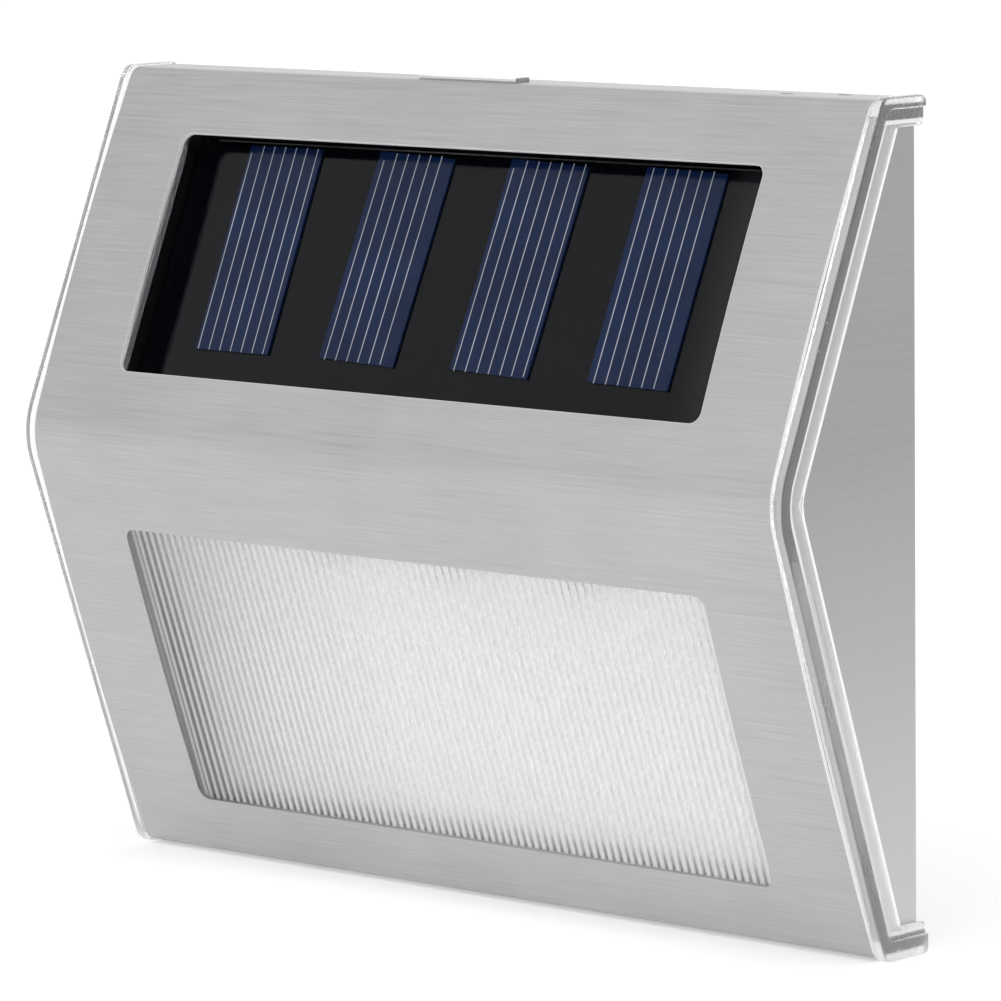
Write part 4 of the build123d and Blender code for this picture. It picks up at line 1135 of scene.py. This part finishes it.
def banded_finish(name, left, width, bands, gloss, matt):
    """A glossy finish whose colour changes in hard steps along X."""
    material, tree, shader, place = new_finish(name)
    along_piece = add_node(tree, "ShaderNodeSeparateXYZ", {0: place}).outputs["X"]
    share = between(tree, along_piece, 0.0, 1.0, left * MM, (left + width) * MM)
    rings = add_node(tree, "ShaderNodeValToRGB", {"Fac": share})
    ramp = rings.color_ramp
    ramp.interpolation = "CONSTANT"
    ramp.elements.remove(ramp.elements[1])
    ramp.elements[0].color = (*bands[0][1], 1)
    for start, colour in bands[1:]:
        ramp.elements.new(start).color = (*colour, 1)
    tree.links.new(rings.outputs["Color"], shader.inputs["Base Color"])
    skin = noise(tree, place, SKIN_SCALE)
    tree.links.new(between(tree, skin, gloss, matt, *NOISE_SPAN), shader.inputs["Roughness"])
    raise_skin(tree, shader, skin, 0.2)
    return material


COIL_LEFT = 10.5
COIL_LENGTH = 9.0
COIL_BODY = (0.035, 0.21, 0.12)
COIL_BROWN = (0.12, 0.05, 0.02)
COIL_BLACK = (0.01, 0.01, 0.01)
RING_WIDTH = 0.08
COIL_RINGS = ((0.22, COIL_BROWN), (0.42, COIL_BLACK), (0.60, COIL_BROWN))
coil_bands = [(0.0, COIL_BODY)]
for ring_start, paint in COIL_RINGS:
    coil_bands += [(ring_start, paint), (ring_start + RING_WIDTH, COIL_BODY)]
dress(banded_finish("coil_lacquer", COIL_LEFT, COIL_LENGTH, coil_bands, 0.25, 0.4), "inductor")

CELL_LEFT = -23.0
CELL_LENGTH = 45.5
SLEEVE = (0.03, 0.16, 0.075)
SLEEVE_BAND = (0.72, 0.73, 0.70)
CELL_END = (0.7, 0.7, 0.69)
sleeve_bands = [(0.0, CELL_END), (0.03, SLEEVE), (0.70, SLEEVE_BAND), (0.76, SLEEVE), (0.97, CELL_END)]
dress(banded_finish("battery_sleeve", CELL_LEFT, CELL_LENGTH, sleeve_bands, 0.22, 0.38), "battery_cell")

# %% [markdown]
# ## Bubbles in the rims
# Tiny bubbles were caught in the clear rims when they were moulded, and they show as bright
# specks beside the dark band. Points are scattered with a fixed seed on a thin strip inside each
# rim, and a small ball of air is put on each.

# %% Bubble scatter
bubble_inputs = [("Density", "Float"), ("Least", "Float"), ("Most", "Float")]
bubble_inputs += [("Seed", "Int"), ("Finish", "Material")]
bubble_scatter, given, made = repeat_tree("bubble_scatter", bubble_inputs)
asked = given.outputs
points = add_node(
    bubble_scatter,
    "GeometryNodeDistributePointsOnFaces",
    {"Mesh": asked["Geometry"], "Density": asked["Density"], "Seed": asked["Seed"]},
)
sizes = add_node(
    bubble_scatter,
    "FunctionNodeRandomValue",
    {2: asked["Least"], 3: asked["Most"], "Seed": asked["Seed"]},
    data_type="FLOAT",
)
bubbles = add_node(
    bubble_scatter,
    "GeometryNodeInstanceOnPoints",
    {"Points": points.outputs[0], "Instance": smooth_ball(bubble_scatter), "Scale": sizes.outputs[1]},
)
end_tree(bubble_scatter, given, made, bubbles.outputs[0])

# %% Rim bubbles
BUBBLE_X = 59.5
BUBBLE_DEPTHS = (0.5, 1.4)
BUBBLE_START = 4.0
BUBBLE_ENDS = (46.0, 55.0)  # up and down the slopes from the fold
BUBBLE_SIZES = (0.03, 0.10)
BUBBLE_DENSITY = 350000.0
BUBBLE_SEED = 7
BUBBLE_IOR = 0.67
strip_places, strip_faces = [], []
for side in (-1, 1):
    for run, turn, reach in ((upper_run, 1, BUBBLE_ENDS[0]), (lower_run, -1, BUBBLE_ENDS[1])):
        inward = Vector((0, run.z, -run.y)) * turn
        first = len(strip_places)
        for far, number in ((BUBBLE_START, 0), (reach, 0), (reach, 1), (BUBBLE_START, 1)):
            corner = fold + run * far + inward * BUBBLE_DEPTHS[number]
            strip_places.append(Vector((side * BUBBLE_X, corner.y, corner.z)) * MM)
        strip_faces.append((first, first + 1, first + 2, first + 3))
trapped_air, tree, shader, place = new_finish(
    "trapped_air", Base_Color=(1.0, 1.0, 1.0, 1), IOR=BUBBLE_IOR, Transmission_Weight=1.0
)
use_group(tree, shader, clear_flow, {"Place": place, "Gloss": 0.01, "Haze": 0.03}, 0.02)
rim_bubbles = grow(
    "rim_bubbles",
    plain_mesh("rim_strips", strip_places, strip_faces),
    bubble_scatter,
    {
        "Density": BUBBLE_DENSITY,
        "Least": BUBBLE_SIZES[0] * MM,
        "Most": BUBBLE_SIZES[1] * MM,
        "Seed": BUBBLE_SEED,
        "Finish": trapped_air,
    },
)
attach(rim_bubbles, "housing")
let_light_in(rim_bubbles)
